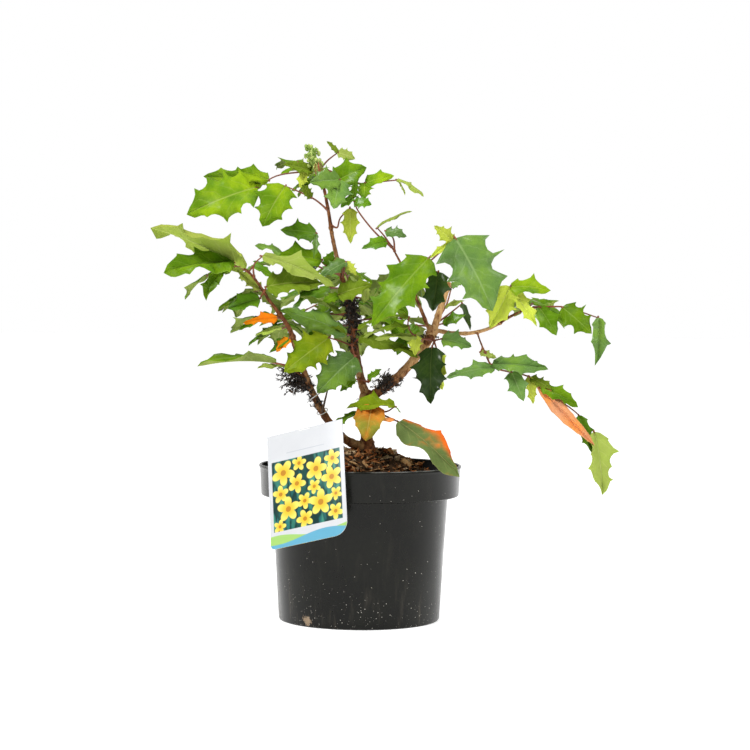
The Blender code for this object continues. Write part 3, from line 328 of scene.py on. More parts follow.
            Blade(0.42, (178, -47, 221), (1, -8, 6), 0.9, "olive"),
            Blade(0.55, (202, -48, 205), (1, -6, 8), 0.9, "green"),
            Blade(0.50, (217, -54, 170), (-6, -7, 4), 0.27, "peach"),
            Blade(0.62, (192, -42, 198), (0, -9, 3), 0.8, "deep"),
            Blade(0.84, (215, -48, 162), (3, -9, 2), 0.65, "deep"),
            Blade(1.00, (225, -45, 123), (5, -8, 2), 0.85, "pale"))),
        Spray(0.70, ((111, -37, 255),), (
            Blade(1.00, (126, -44, 250), (0, -8, 6), 0.8, "pale"),)),
    )),
    "low_left_leaf": Mass(
        ("left_bough", 0.80), (-0.062, -0.0275, 0.236), (-0.070, -0.032, 0.241), 0.0012, 0.0010, 0.11, 20,
        "green", (
        Leaf(1.00, -160, 16, 0.010, 0.070, "T", bend=-8, dip=0, twist=-6),
        Leaf(0.60, 160, 26, 0.006, 0.028, "T", dip=0, tint="pale"),
    )),
    "basal_foliage": Mass(
        ("trunk", 0.66), (0.010, -0.012, 0.196), (0.012, -0.016, 0.198), 0.0016, 0.0013, 0.12, 21, "green", (
        Spray(1.00, ((11, -24, 203),), (
            Blade(1.00, (5, -54, 172), (-1, -8, 6), 1.1, "half"),)),
        Leaf(0.80, -178, -4, 0.010, 0.032, "T", bend=-10, dip=0, twist=-10),
        Spray(1.00, ((24, -20, 198), (32, -25, 203)), (
            Blade(1.00, (-14, -27, 201), (0, -4, 9), 1.0, "gold"),
            Blade(1.00, (38, -27, 197), (6, -5, 5), 0.5, "green"))),
        Spray(0.95, ((24, -24, 194), (36, -34, 189)), (
            Blade(1.00, (92, -69, 141), (3, -7, 7), 0.74, "margin"),
            Blade(0.80, (17, -37, 190), (0, -6, 8), 0.7, "peach"))),
    )),
    "low_shoot_foliage": Mass(
        ("centre_bough", 0.30), (0.006, -0.008, 0.224), (0.008, -0.010, 0.226), 0.0010, 0.0009, 0.06, 23, "fresh", (
        Spray(1.00, ((7, -12, 228),), (
            Blade(1.00, (20, -14, 238), (0, -8, 6), 0.85),)),
        Spray(0.80, ((2, -14, 227), (-6, -13, 228)), (
            Blade(1.00, (-20, -14, 216), (0, -9, 4), 0.9, "green"),)),
    )),
    "back_foliage": Mass(
        (-0.012, 0.088, 0.2995), (-0.013, 0.097, 0.310), (-0.014, 0.104, 0.322), 0.0024, 0.0018, 0.14, 22,
        "green", (
        Leaf(1.00, 90, 18, 0.060, 0.048),
        Leaf(0.80, 35, 8, 0.056, 0.046),
        Leaf(0.60, 145, 8, 0.056, 0.046, tint="deep green"),
        Leaf(0.30, 0, -6, 0.046, 0.042, "LR T"),
        Leaf(0.35, 190, -8, 0.046, 0.042, "LR T"),
        Leaf(0.10, 80, -16, 0.050, 0.044, "LR T"),
        Leaf(1.00, 250, 40, 0.034, 0.036, "LR T", tint="fresh"),
    )),
}

# Fine shape of the leaves: spines along each edge with hollows between, over two arched and waved halves
SPINE_COUNTS = (2, 3, 3)
SPINE_EVERY = 0.047
SPINE_START = 0.16
SPINE_END = 0.97
SPINE_REACH = 1.09
HOLLOW_DEPTH = 1.15
HOLLOW_MOST = 0.38
HOLLOW_STATIONS = (0.12, 0.34, 0.60, 0.85)
SPINE_LIFT = 0.040
SOFT = ("half", "margin", "peach")
SOFT_SHARE = 0.30
UPPER_ROWS = (0.45, 0.82)
LOWER_ROWS = (0.45, 0.82)
ARCH = (0.018, 0.060)
ROLL = (-0.010, 0.070)
WAVE = (0.030, 0.075)
WAVES = (1.1, 2.0)
BLADE_SHARP = 50
FULL_RELIEF = 0.060

# Bark: bough pieces run into each other, and the relief follows each bough
JOIN = 0.002
BARK_VOXEL = 0.0007
BARK_RELIEF = 0.00045
BARK_PALE = {"trunk": (0.05, 0.35), "centre_bough": (0.55, 0.15), "upper_bough": (0.35, 0.30),
             "left_bough": (0.30, 0.35), "left_upper_bough": (0.15, 0.10), "right_bough": (0.00, 0.95),
             "upright_bough": (0.40, 0.05), "cut_stub": (0.90, 1.10), "outer_bough": (0.85, 0.50),
             "back_bough": (0.20, 0.30)}
MASS_PALE = (0.12, 0.12)
KNOTS = (((0.0060, 0.0010, 0.2105), 0.0076), ((0.0668, -0.0205, 0.2742), 0.0056),
         ((-0.0641, -0.0301, 0.2677), 0.0034), ((-0.0758, -0.0330, 0.2882), 0.0029),
         ((-0.0300, 0.0120, 0.3708), 0.0026), ((0.1290, -0.0330, 0.2826), 0.0024),
         ((-0.0120, 0.0880, 0.2992), 0.0030), ((-0.0070, 0.0050, 0.2548), 0.0040))
# Tufts of dead bud scales on wandering threads: the bough, its share from and to, how many threads, how long,
# where they lean to and how strongly
Tuft = namedtuple("Tuft", "bough low high count long lean pull")
TUFTS = (Tuft("centre_foliage", 0.34, 0.62, 150, 0.0150, (0.8, -0.3, 0.1), 0.55),
         Tuft("centre_foliage", 0.06, 0.34, 46, 0.0070, (0.3, -0.4, 0.1), 0.35),
         Tuft("right_bough", 0.16, 0.34, 90, 0.0170, (-0.3, -0.2, 0.9), 0.60),
         Tuft("left_bough", 0.70, 0.82, 80, 0.0300, (-1.0, -0.1, -0.15), 2.20),
         Tuft("left_bough", 0.55, 0.76, 60, 0.0080, (-0.3, -0.5, 0.0), 0.40),
         Tuft("trunk", 0.86, 1.00, 16, 0.0070, (0.6, -0.2, 0.2), 0.50),
         Tuft("right_bough", 0.88, 1.00, 14, 0.0050, (-0.7, 0.0, 0.4), 0.60))
THREAD_STEP = 0.0012
THREAD_RADIUS = 0.00030
THREAD_WANDER = 1.10
# A bare dead twig beside the left bough: foot, bend and tip
TWIG = ((-0.0362, -0.0200, 0.1970), (-0.0333, -0.0260, 0.2085), (-0.0297, -0.0260, 0.2245))
SCALES_LONG = (0.0012, 0.0034)
SCALES_WIDE = (0.00035, 0.0006, 0.0009)
# Thin white ties round the left bough: share of its length, radius, tilt
TIES = ((0.56, 0.0058, 16), (0.66, 0.0060, -20))
TIE_RADIUS = 0.00050
FLOWER_BUDS = 96
SPIKE_TILTS = ((0, 0, 0), (0.006, -0.002, -0.004), (-0.001, -0.005, -0.009))
# The bracts of the next shoot, beside the buds: foot, middle and tip, how many, how far out and how wide
BRACTS = ((-0.0415, 0.004, 0.4180), (-0.0420, 0.003, 0.4250), (-0.0425, 0.002, 0.4330))
BRACT_COUNT = 12
BRACT_SPREAD = 0.0038
BRACT_WIDE = 0.0019
CHIPS = 1700
CHIP_LONG = (0.0030, 0.0150)

# Leaf finishes: face, veins, second colour, its share in blotches, on one side and at the base, roughness
Tint = namedtuple("Tint", "face vein second blotch side base rough")
TINTS = {
    "fresh": Tint((0.122, 0.258, 0.008), (0.360, 0.460, 0.090), (0.215, 0.330, 0.007), 0.35, 0, 0, 0.36),
    "green": Tint((0.090, 0.205, 0.006), (0.260, 0.380, 0.065), (0.145, 0.260, 0.006), 0.35, 0, 0, 0.34),
    "deep": Tint((0.085, 0.205, 0.009), (0.210, 0.330, 0.060), (0.120, 0.235, 0.009), 0.30, 0, 0, 0.30),
    "blue": Tint((0.115, 0.225, 0.048), (0.290, 0.420, 0.150), (0.150, 0.265, 0.030), 0.32, 0, 0, 0.27),
    "olive": Tint((0.160, 0.235, 0.014), (0.380, 0.440, 0.100), (0.110, 0.175, 0.010), 0.40, 0, 0, 0.42),
    "lime": Tint((0.480, 0.560, 0.060), (0.680, 0.740, 0.200), (0.370, 0.470, 0.040), 0.30, 0, 0, 0.42),
    "gold": Tint((0.135, 0.225, 0.005), (0.330, 0.400, 0.070), (0.190, 0.250, 0.008), 0.42, 0, 0, 0.40),
    "pale": Tint((0.340, 0.430, 0.080), (0.540, 0.600, 0.200), (0.260, 0.350, 0.050), 0.35, 0, 0, 0.52),
    "under": Tint((0.350, 0.410, 0.070), (0.230, 0.300, 0.045), (0.290, 0.360, 0.055), 0.35, 0, 0, 0.56),
    "shade": Tint((0.080, 0.125, 0.014), (0.210, 0.280, 0.070), (0.120, 0.170, 0.018), 0.35, 0, 0, 0.38),
    "dark": Tint((0.024, 0.050, 0.011), (0.075, 0.110, 0.026), (0.042, 0.074, 0.009), 0.25, 0, 0, 0.28),
    "orange": Tint((0.820, 0.270, 0.006), (0.620, 0.190, 0.020), (0.850, 0.215, 0.008), 0.36, 0, 0, 0.46),
    "peach": Tint((0.880, 0.400, 0.200), (0.900, 0.580, 0.360), (0.820, 0.300, 0.070), 0.40, 0, 0, 0.50),
    "half": Tint((0.330, 0.330, 0.040), (0.600, 0.460, 0.120), (0.860, 0.210, 0.025), 0.25, 0, 1.0, 0.44),
    "margin": Tint((0.150, 0.215, 0.060), (0.340, 0.330, 0.120), (0.900, 0.160, 0.016), 0.20, 1.0, 0, 0.42),
}
UNDERSIDE = Tint((0.200, 0.270, 0.055), (0.360, 0.420, 0.150), (0.250, 0.320, 0.070), 0.35, 0, 0, 0.62)
FRESH_UNDERSIDE = Tint((0.320, 0.410, 0.070), (0.500, 0.560, 0.180), (0.260, 0.350, 0.045), 0.35, 0, 0, 0.58)
FRESH = ("fresh", "lime", "gold", "pale", "under", "half", "orange", "peach")
INDEX_DULL = 1.06
INDEX_SHINY = 1.48
INDEX_BARK = 1.20
GLOSS_MOST = 0.60
POT_GLOSS = 0.17

# Where the brown smear sits on the pot's front, and the label's flowers in the card's own metres: place, radius
# and turn
SMEAR = (-0.0470, -0.0600, 0.0060)
BLOSSOMS = ((-0.0240, 0.0160, 0.0130, 0.3), (-0.0070, 0.0220, 0.0080, 1.1), (0.0105, 0.0130, 0.0120, 0.0),
            (0.0280, 0.0195, 0.0090, 0.8), (0.0265, 0.0020, 0.0115, 1.9), (0.0080, -0.0035, 0.0075, 0.5),
            (-0.0100, 0.0030, 0.0100, 1.4), (-0.0275, -0.0040, 0.0090, 0.9), (-0.0200, -0.0195, 0.0125, 2.2),
            (-0.0025, -0.0150, 0.0085, 0.2), (0.0140, -0.0195, 0.0130, 1.0), (0.0300, -0.0145, 0.0070, 0.4),
            (0.0290, -0.0310, 0.0085, 1.6), (-0.0030, -0.0320, 0.0095, 0.6), (-0.0295, -0.0345, 0.0070, 1.2))

# Light: the sky as the camera sees it, as it lights the plant from behind and from the front, the floor's own
# glow, and each lamp's place, power and size
SKY_SEEN = 1.0
SKY_BEHIND = 0.85
SKY_BEFORE = 0.12
FLOOR_GLOW = 0.60
LAMPS = (((-1.1, -1.3, 2.7), 78, 1.1), ((1.6, -1.0, 2.2), 26, 1.4))


def tube_shape(points, radii, sides):
    """Corners and faces of a closed tube along the points."""
    across = None
    corners, faces = [], []
    for i, point in enumerate(points):
        ahead = heading_at(points, i)
        if across is None:
            across = ahead.orthogonal()
        across = (across - ahead * across.dot(ahead)).normalized()
        beside = ahead.cross(across)
        for k in range(sides):
            turn = 2 * math.pi * k / sides
            corners.append(point + (across * math.cos(turn) + beside * math.sin(turn)) * radii[i])
    for i in range(len(points) - 1):
        low = i * sides
        for k in range(sides):
            m = (k + 1) % sides
            faces.append((low + k, low + m, low + sides + m, low + sides + k))
    faces.append(tuple(range(sides))[::-1])
    faces.append(tuple(range(len(corners) - sides, len(corners))))
    return corners, faces


def smooth_path(points, steps):
    """The points with steps more to each stretch, on a smooth line through all of them."""
    made = []
    ends = [points[0] * 2 - points[1]] + list(points) + [points[-1] * 2 - points[-2]]
    for a, b, c, d in zip(ends, ends[1:], ends[2:], ends[3:]):
        for k in range(steps):
            t = k / steps
            made.append((b * 2 + (c - a) * t + (a * 2 - b * 5 + c * 4 - d) * t ** 2
                         + (b * 3 - a - c * 3 + d) * t ** 3) / 2)
    made.append(points[-1].copy())
    return made


def tree_of(node):
    """A CAD node's surface, for tests of what touches it."""
    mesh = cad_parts[node].data
    return BVHTree.FromPolygons([v.co.copy() for v in mesh.vertices], [list(p.vertices) for p in mesh.polygons])


class Recipe:
    """Adds nodes to one tree; each input is a value or another node's output."""

    def __init__(self, tree):
        self.tree = tree

    def feed(self, socket, value):
        if isinstance(value, bpy.types.NodeSocket):
            self.tree.links.new(value, socket)
        elif socket.type == "RGBA":
            socket.default_value = (*value, 1)
        else:
            socket.default_value = value

    def node(self, kind, inputs, **settings):
        made = self.tree.nodes.new("ShaderNode" + kind)
        for name, value in settings.items():
            setattr(made, name, value)
        for key, value in inputs.items():
            self.feed(made.inputs[key], value)
        return made

    def math(self, operation, first, second=0.0, third=0.0):
        return self.node("Math", {0: first, 1: second, 2: third}, operation=operation).outputs[0]

    def mix(self, share, first, second, how="MIX"):
        return self.node("Mix", {0: share, 6: first, 7: second}, data_type="RGBA", blend_type=how).outputs[2]

    def step(self, value, low, high):
        """0 below low and 1 above high, smooth between; low may be the greater."""
        inputs = {"Value": value, "From Min": low, "From Max": high}
        return self.node("MapRange", inputs, interpolation_type="SMOOTHSTEP").outputs["Result"]

    def noise(self, place, scale, detail=3.0, rough=0.55):
        inputs = {"Vector": place, "Scale": scale, "Detail": detail, "Roughness": rough}
        return self.node("TexNoise", inputs).outputs["Fac"]

    def cells(self, place, scale, feature="F1", **settings):
        return self.node("TexVoronoi", {"Vector": place, "Scale": scale}, feature=feature, **settings)

    def stretch(self, place, scale, turn=(0, 0, 0)):
        return self.node("Mapping", {"Vector": place, "Scale": scale, "Rotation": turn}).outputs["Vector"]


def new_group(name, inputs, outputs):
    """A shader node group with named sockets: its recipe, its inputs and the node that takes its outputs."""
    tree = bpy.data.node_groups.new(name, "ShaderNodeTree")
    for side, sockets in (("INPUT", inputs), ("OUTPUT", outputs)):
        for socket, kind in sockets.items():
            tree.interface.new_socket(name=socket, in_out=side, socket_type="NodeSocket" + kind)
    given = tree.nodes.new("NodeGroupInput").outputs
    taken = tree.nodes.new("NodeGroupOutput").inputs
    return Recipe(tree), given, taken


def new_material(name):
    """A Principled material: its recipe, its shader and its Object coordinates."""
    made = bpy.data.materials.new(name)
    made.use_nodes = True
    recipe = Recipe(made.node_tree)
    shader = made.node_tree.nodes["Principled BSDF"]
    place = recipe.node("TexCoord", {}).outputs["Object"]
    return made, recipe, shader, place


def use_group(recipe, group, inputs):
    """Place a node group in a material with its own values."""
    made = recipe.tree.nodes.new("ShaderNodeGroup")
    made.node_tree = group
    for name, value in inputs.items():
        recipe.feed(made.inputs[name], value)
    return made.outputs


def finish_shader(recipe, shader, colour, rough, height, strength, depth):
    """Join a material's colour, roughness and relief to its shader."""
    recipe.feed(shader.inputs["Base Color"], colour)
    recipe.feed(shader.inputs["Roughness"], rough)
    bump = recipe.node("Bump", {"Height": height, "Strength": strength, "Distance": depth})
    recipe.feed(shader.inputs["Normal"], bump.outputs["Normal"])


def make_mottle_group():
    """Broad and fine unevenness, for every finish: a colour and a roughness that wander."""
    recipe, given, taken = new_group(
        "mottle", {"Place": "Vector", "Scale": "Float", "Light": "Color", "Dark": "Color", "Low": "Float",
                   "High": "Float"}, {"Color": "Color", "Roughness": "Float", "Height": "Float"})
    broad = recipe.noise(given["Place"], given["Scale"])
    fine = recipe.noise(given["Place"], recipe.math("MULTIPLY", given["Scale"], 7.0))
    both = recipe.math("ADD", recipe.math("MULTIPLY", broad, 0.65), recipe.math("MULTIPLY", fine, 0.35))
    share = recipe.step(both, 0.34, 0.66)
    recipe.feed(taken["Color"], recipe.mix(share, given["Dark"], given["Light"]))
    span = recipe.math("SUBTRACT", given["High"], given["Low"])
    recipe.feed(taken["Roughness"], recipe.math("MULTIPLY_ADD", share, span, given["Low"]))
    recipe.feed(taken["Height"], fine)
    return recipe.tree


def make_leaf_group():
    """A leaf's face: midrib, side veins, fine net, pale edge that is partly painted backlight, blotches and autumn
    colour.
    """
    colours = {"Face": "Color", "Veins": "Color", "Second": "Color"}
    shares = {"Tone": "Float", "Blotch": "Float", "Side": "Float", "Base": "Float", "Rough": "Float"}
    recipe, given, taken = new_group(
        "leaf_face", {"Place": "Vector", "Blade": "Vector", **colours, **shares},
        {"Color": "Color", "Roughness": "Float", "Height": "Float", "Gloss": "Float"})
    parts = recipe.node("SeparateXYZ", {"Vector": given["Blade"]}).outputs
    across, along = parts["X"], parts["Y"]
    off = recipe.math("ABSOLUTE", recipe.math("MULTIPLY_ADD", across, 2.0, -1.0))
    wander = recipe.math("MULTIPLY_ADD", recipe.noise(given["Place"], 120.0), 0.10, -0.05)
    slant = recipe.math("ADD", recipe.math("MULTIPLY_ADD", off, -0.30, along), wander)
    ribs = recipe.math("FRACT", recipe.math("MULTIPLY", slant, 5.5))
    quilt = recipe.math("ABSOLUTE", recipe.math("SUBTRACT", ribs, 0.5))
    ribs = recipe.math("MULTIPLY", recipe.step(quilt, 0.10, 0.0), recipe.step(off, 0.95, 0.55))
    midrib = recipe.step(off, 0.065, 0.015)
    net = recipe.cells(given["Place"], 520.0, "DISTANCE_TO_EDGE").outputs["Distance"]
    net = recipe.step(net, 0.12, 0.0)
    veins = recipe.math("MAXIMUM", midrib, recipe.math("MULTIPLY", ribs, 0.45))
    veins = recipe.math("MAXIMUM", veins, recipe.math("MULTIPLY", net, 0.18))
    # Pale edge: the leaf's own pale margin, brightened further as painted backlight through the thin edge.
    rim = recipe.step(off, 0.95, 1.0)
    cloud = recipe.noise(given["Place"], 42.0, 4.0)
    blotch = recipe.step(recipe.math("ADD", cloud, given["Blotch"]), 0.72, 1.02)
    blot = recipe.noise(given["Place"], 75.0, 3.0)
    blot = recipe.math("MULTIPLY_ADD", blot, 0.26, -0.13)
    side = recipe.math("MULTIPLY", recipe.step(recipe.math("ADD", across, blot), 0.38, 0.14), given["Side"])
    base = recipe.math("MULTIPLY", recipe.step(recipe.math("ADD", along, blot), 0.72, 0.12), given["Base"])
    turned_share = recipe.math("MAXIMUM", blotch, recipe.math("MAXIMUM", side, base))
    colour = recipe.mix(turned_share, given["Face"], given["Second"])
    bright = recipe.math("MULTIPLY_ADD", cloud, 1.1, 0.44)
    bright = recipe.math("MULTIPLY", bright, given["Tone"])
    shade = recipe.node("CombineXYZ", {"X": bright, "Y": bright, "Z": bright}).outputs[0]
    colour = recipe.mix(1.0, colour, shade, "MULTIPLY")
    colour = recipe.mix(recipe.math("MULTIPLY", veins, 0.55), colour, given["Veins"])
    colour = recipe.mix(recipe.math("MULTIPLY", rim, 0.35), colour, given["Veins"])
    recipe.feed(taken["Color"], colour)
    uneven = recipe.math("MULTIPLY_ADD", cloud, 0.22, -0.11)
    rough = recipe.math("ADD", recipe.math("ADD", given["Rough"], uneven), recipe.math("MULTIPLY", veins, 0.10))
    recipe.feed(taken["Roughness"], rough)
    sheen = recipe.math("MULTIPLY_ADD", given["Rough"], -1.4, recipe.noise(given["Place"], 55.0, 2.0))
    recipe.feed(taken["Gloss"], recipe.math("MULTIPLY", recipe.step(sheen, 0.02, 0.22), GLOSS_MOST))
    quilt = recipe.math("MULTIPLY_ADD", recipe.step(quilt, 0.0, 0.5), 0.45, recipe.math("MULTIPLY", veins, -1.0))
    recipe.feed(taken["Height"], recipe.math("MULTIPLY_ADD", recipe.noise(given["Place"], 300.0), 0.35, quilt))
    return recipe.tree


def make_specks_group():
    """Small bright specks that are dealt out unevenly, for dust on plastic and grit on bark."""
    recipe, given, taken = new_group(
        "specks", {"Place": "Vector", "Scale": "Float", "Share": "Float"}, {"Mask": "Float"})
    cells = recipe.cells(given["Place"], given["Scale"])
    size = recipe.node("SeparateColor", {"Color": cells.outputs["Color"]}).outputs
    chosen = recipe.math("LESS_THAN", size[0], given["Share"])
    radius = recipe.math("MULTIPLY_ADD", size[1], 0.16, 0.05)
    dot = recipe.math("LESS_THAN", cells.outputs["Distance"], radius)
    recipe.feed(taken["Mask"], recipe.math("MULTIPLY", chosen, dot))
    return recipe.tree


def leaf_finish(name, tint, groups):
    made, recipe, shader, place = new_material(name)
    blade = recipe.node("UVMap", {}, uv_map="blade").outputs["UV"]
    tone = recipe.node("Attribute", {}, attribute_name="tone").outputs["Fac"]
    outputs = use_group(recipe, groups["leaf"], {
        "Place": place, "Blade": blade, "Tone": tone, "Face": tint.face, "Veins": tint.vein,
        "Second": tint.second, "Blotch": tint.blotch, "Side": tint.side, "Base": tint.base, "Rough": tint.rough})
    raised = recipe.node("Attribute", {}, attribute_name="raised").outputs["Fac"]
    height = recipe.math("MULTIPLY", outputs["Height"], raised)
    finish_shader(recipe, shader, outputs["Color"], outputs["Roughness"], height, 0.50, 0.0008)
    recipe.feed(shader.inputs["Coat Weight"], outputs["Gloss"])
    shader.inputs["IOR"].default_value = INDEX_DULL
    shader.inputs["Coat IOR"].default_value = INDEX_SHINY
    shader.inputs["Coat Roughness"].default_value = tint.rough
    return made


def plain_finish(name, groups, light, dark, scale, low, high, strength, depth):
    """A finish of two mottled colours, such as plastic tape, buds or stalks."""
    made, recipe, shader, place = new_material(name)
    outputs = use_group(recipe, groups["mottle"], {
        "Place": place, "Scale": scale, "Light": light, "Dark": dark, "Low": low, "High": high})
    finish_shader(recipe, shader, outputs["Color"], outputs["Roughness"], outputs["Height"], strength, depth)
    return made


def bark_finish(groups):
    """Brown bark with pale tan weathering and painted shade in its sunken cracks, along each bough."""
    made, recipe, shader, place = new_material("bark")
    pale = recipe.node("Attribute", {}, attribute_name="pale").outputs["Fac"]
    relief = recipe.node("Attribute", {}, attribute_name="relief").outputs["Fac"]
    streak = recipe.noise(recipe.stretch(place, (1, 1, 0.22)), 420.0, 5.0, 0.65)
    cloud = recipe.noise(place, 95.0, 4.0)
    brown = recipe.mix(recipe.step(streak, 0.35, 0.65), (0.080, 0.026, 0.011), (0.250, 0.095, 0.036))
    tan = recipe.mix(recipe.step(streak, 0.30, 0.62), (0.300, 0.130, 0.045), (0.640, 0.390, 0.180))
    share = recipe.math("ADD", pale, recipe.math("MULTIPLY_ADD", cloud, 1.1, -0.55))
    colour = recipe.mix(recipe.step(share, 0.15, 0.75), brown, tan)
    # Painted shade: where the relief is sunk, the bark goes near-black.
    colour = recipe.mix(recipe.step(relief, 0.42, 0.22), colour, (0.030, 0.016, 0.010))
    grit = use_group(recipe, groups["specks"], {"Place": place, "Scale": 900.0, "Share": 0.10})["Mask"]
    colour = recipe.mix(recipe.math("MULTIPLY", grit, 0.5), colour, (0.55, 0.45, 0.32))
    finish_shader(recipe, shader, colour, recipe.math("MULTIPLY_ADD", streak, 0.3, 0.62), streak, 0.8, 0.0006)
    shader.inputs["IOR"].default_value = INDEX_BARK
    return made


def pot_finish(groups):
    """Thin black plastic with dust in the base's lee, pale splashes, scuffs and a painted highlight along the lip."""
    made, recipe, shader, place = new_material("pot")
    base = use_group(recipe, groups["mottle"], {
        "Place": place, "Scale": 22.0, "Light": (0.0080, 0.0082, 0.0056), "Dark": (0.0042, 0.0043, 0.0030),
        "Low": 0.15, "High": 0.26})
    height = recipe.node("SeparateXYZ", {"Vector": place}).outputs["Z"]
    low = recipe.step(height, 0.060, 0.004)
    drip = recipe.noise(recipe.stretch(place, (1, 1, 0.15)), 130.0, 4.0)
    dust = recipe.math("MULTIPLY", recipe.step(drip, 0.52, 0.75), recipe.math("MULTIPLY_ADD", low, 0.16, 0.03))
    colour = recipe.mix(dust, base["Color"], (0.20, 0.17, 0.13))
    # Painted highlight: a pale line round the top of the rolled lip, broken up by noise.
    painted_rim_highlight = recipe.step(height, POT_HEIGHT - 0.0012, POT_HEIGHT - 0.0002)
    painted_rim_highlight = recipe.math("MULTIPLY", painted_rim_highlight, recipe.step(recipe.noise(place, 60.0), 0.35, 0.60))
    colour = recipe.mix(recipe.math("MULTIPLY", painted_rim_highlight, 0.75), colour, (0.16, 0.16, 0.15))
    patch = recipe.step(recipe.noise(place, 48.0), 0.40, 0.58)
    share = recipe.math("MULTIPLY", recipe.math("MULTIPLY_ADD", low, 0.65, 0.10), patch)
    specks = use_group(recipe, groups["specks"], {"Place": place, "Scale": 520.0, "Share": share})["Mask"]
    colour = recipe.mix(recipe.math("MULTIPLY", specks, 0.85), colour, (0.60, 0.57, 0.50))
    scrape = recipe.noise(recipe.stretch(place, (1, 1, 3.5)), 210.0, 2.0)
    scrape = recipe.step(scrape, 0.71, 0.76)
    colour = recipe.mix(recipe.math("MULTIPLY", scrape, 0.18), colour, (0.16, 0.15, 0.14))
    smear = recipe.node("VectorMath", {0: place, 1: SMEAR}, operation="DISTANCE").outputs["Value"]
    ragged = recipe.noise(place, 420.0, 4.0)
    smear = recipe.math("ADD", smear, recipe.math("MULTIPLY_ADD", ragged, 0.014, -0.007))
    colour = recipe.mix(recipe.step(smear, 0.0052, 0.0030), colour, recipe.mix(ragged, (0.16, 0.10, 0.05),
                                                                               (0.50, 0.38, 0.26)))
    rough = recipe.math("ADD", base["Roughness"], recipe.math("MULTIPLY", dust, 0.8))
    fine = recipe.noise(place, 900.0, 2.0)
    finish_shader(recipe, shader, colour, rough, fine, 0.12, 0.0002)
    shader.inputs["Specular IOR Level"].default_value = POT_GLOSS
    return made


def mulch_finish(groups, name, light, dark):
    """Damp bark mulch: dark fibres with tan torn edges."""
    made, recipe, shader, place = new_material(name)
    base = use_group(recipe, groups["mottle"], {
        "Place": place, "Scale": 160.0, "Light": light, "Dark": dark, "Low": 0.55, "High": 0.95})
    fibre = recipe.noise(recipe.stretch(place, (1, 0.35, 1), (0.4, 0.7, 0.2)), 900.0, 4.0)
    colour = recipe.mix(recipe.math("MULTIPLY", recipe.step(fibre, 0.56, 0.74), 0.6), base["Color"],
                        (0.34, 0.18, 0.08))
    finish_shader(recipe, shader, colour, base["Roughness"], fibre, 0.9, 0.0008)
    shader.inputs["IOR"].default_value = INDEX_DULL
    return made


def make_flower_group():
    """One printed flower of five petals round a heart: where it is, and how far out from its middle."""
    recipe, given, taken = new_group(
        "flower", {"Card": "Vector", "Centre": "Vector", "Radius": "Float", "Turn": "Float"},
        {"Mask": "Float", "Out": "Float"})
    off = recipe.node("VectorMath", {0: given["Card"], 1: given["Centre"]}, operation="SUBTRACT").outputs[0]
    parts = recipe.node("SeparateXYZ", {"Vector": off}).outputs
    angle = recipe.math("ADD", recipe.math("ARCTAN2", parts["Y"], parts["X"]), given["Turn"])
    petal = recipe.math("ABSOLUTE", recipe.math("COSINE", recipe.math("MULTIPLY", angle, 2.5)))
    reach = recipe.math("MULTIPLY", given["Radius"], recipe.math("MULTIPLY_ADD", petal, 0.52, 0.48))
    away = recipe.node("VectorMath", {0: off}, operation="LENGTH").outputs["Value"]
    share = recipe.math("DIVIDE", away, reach)
    recipe.feed(taken["Mask"], recipe.step(share, 1.0, 0.90))
    recipe.feed(taken["Out"], recipe.math("DIVIDE", away, given["Radius"]))
    return recipe.tree


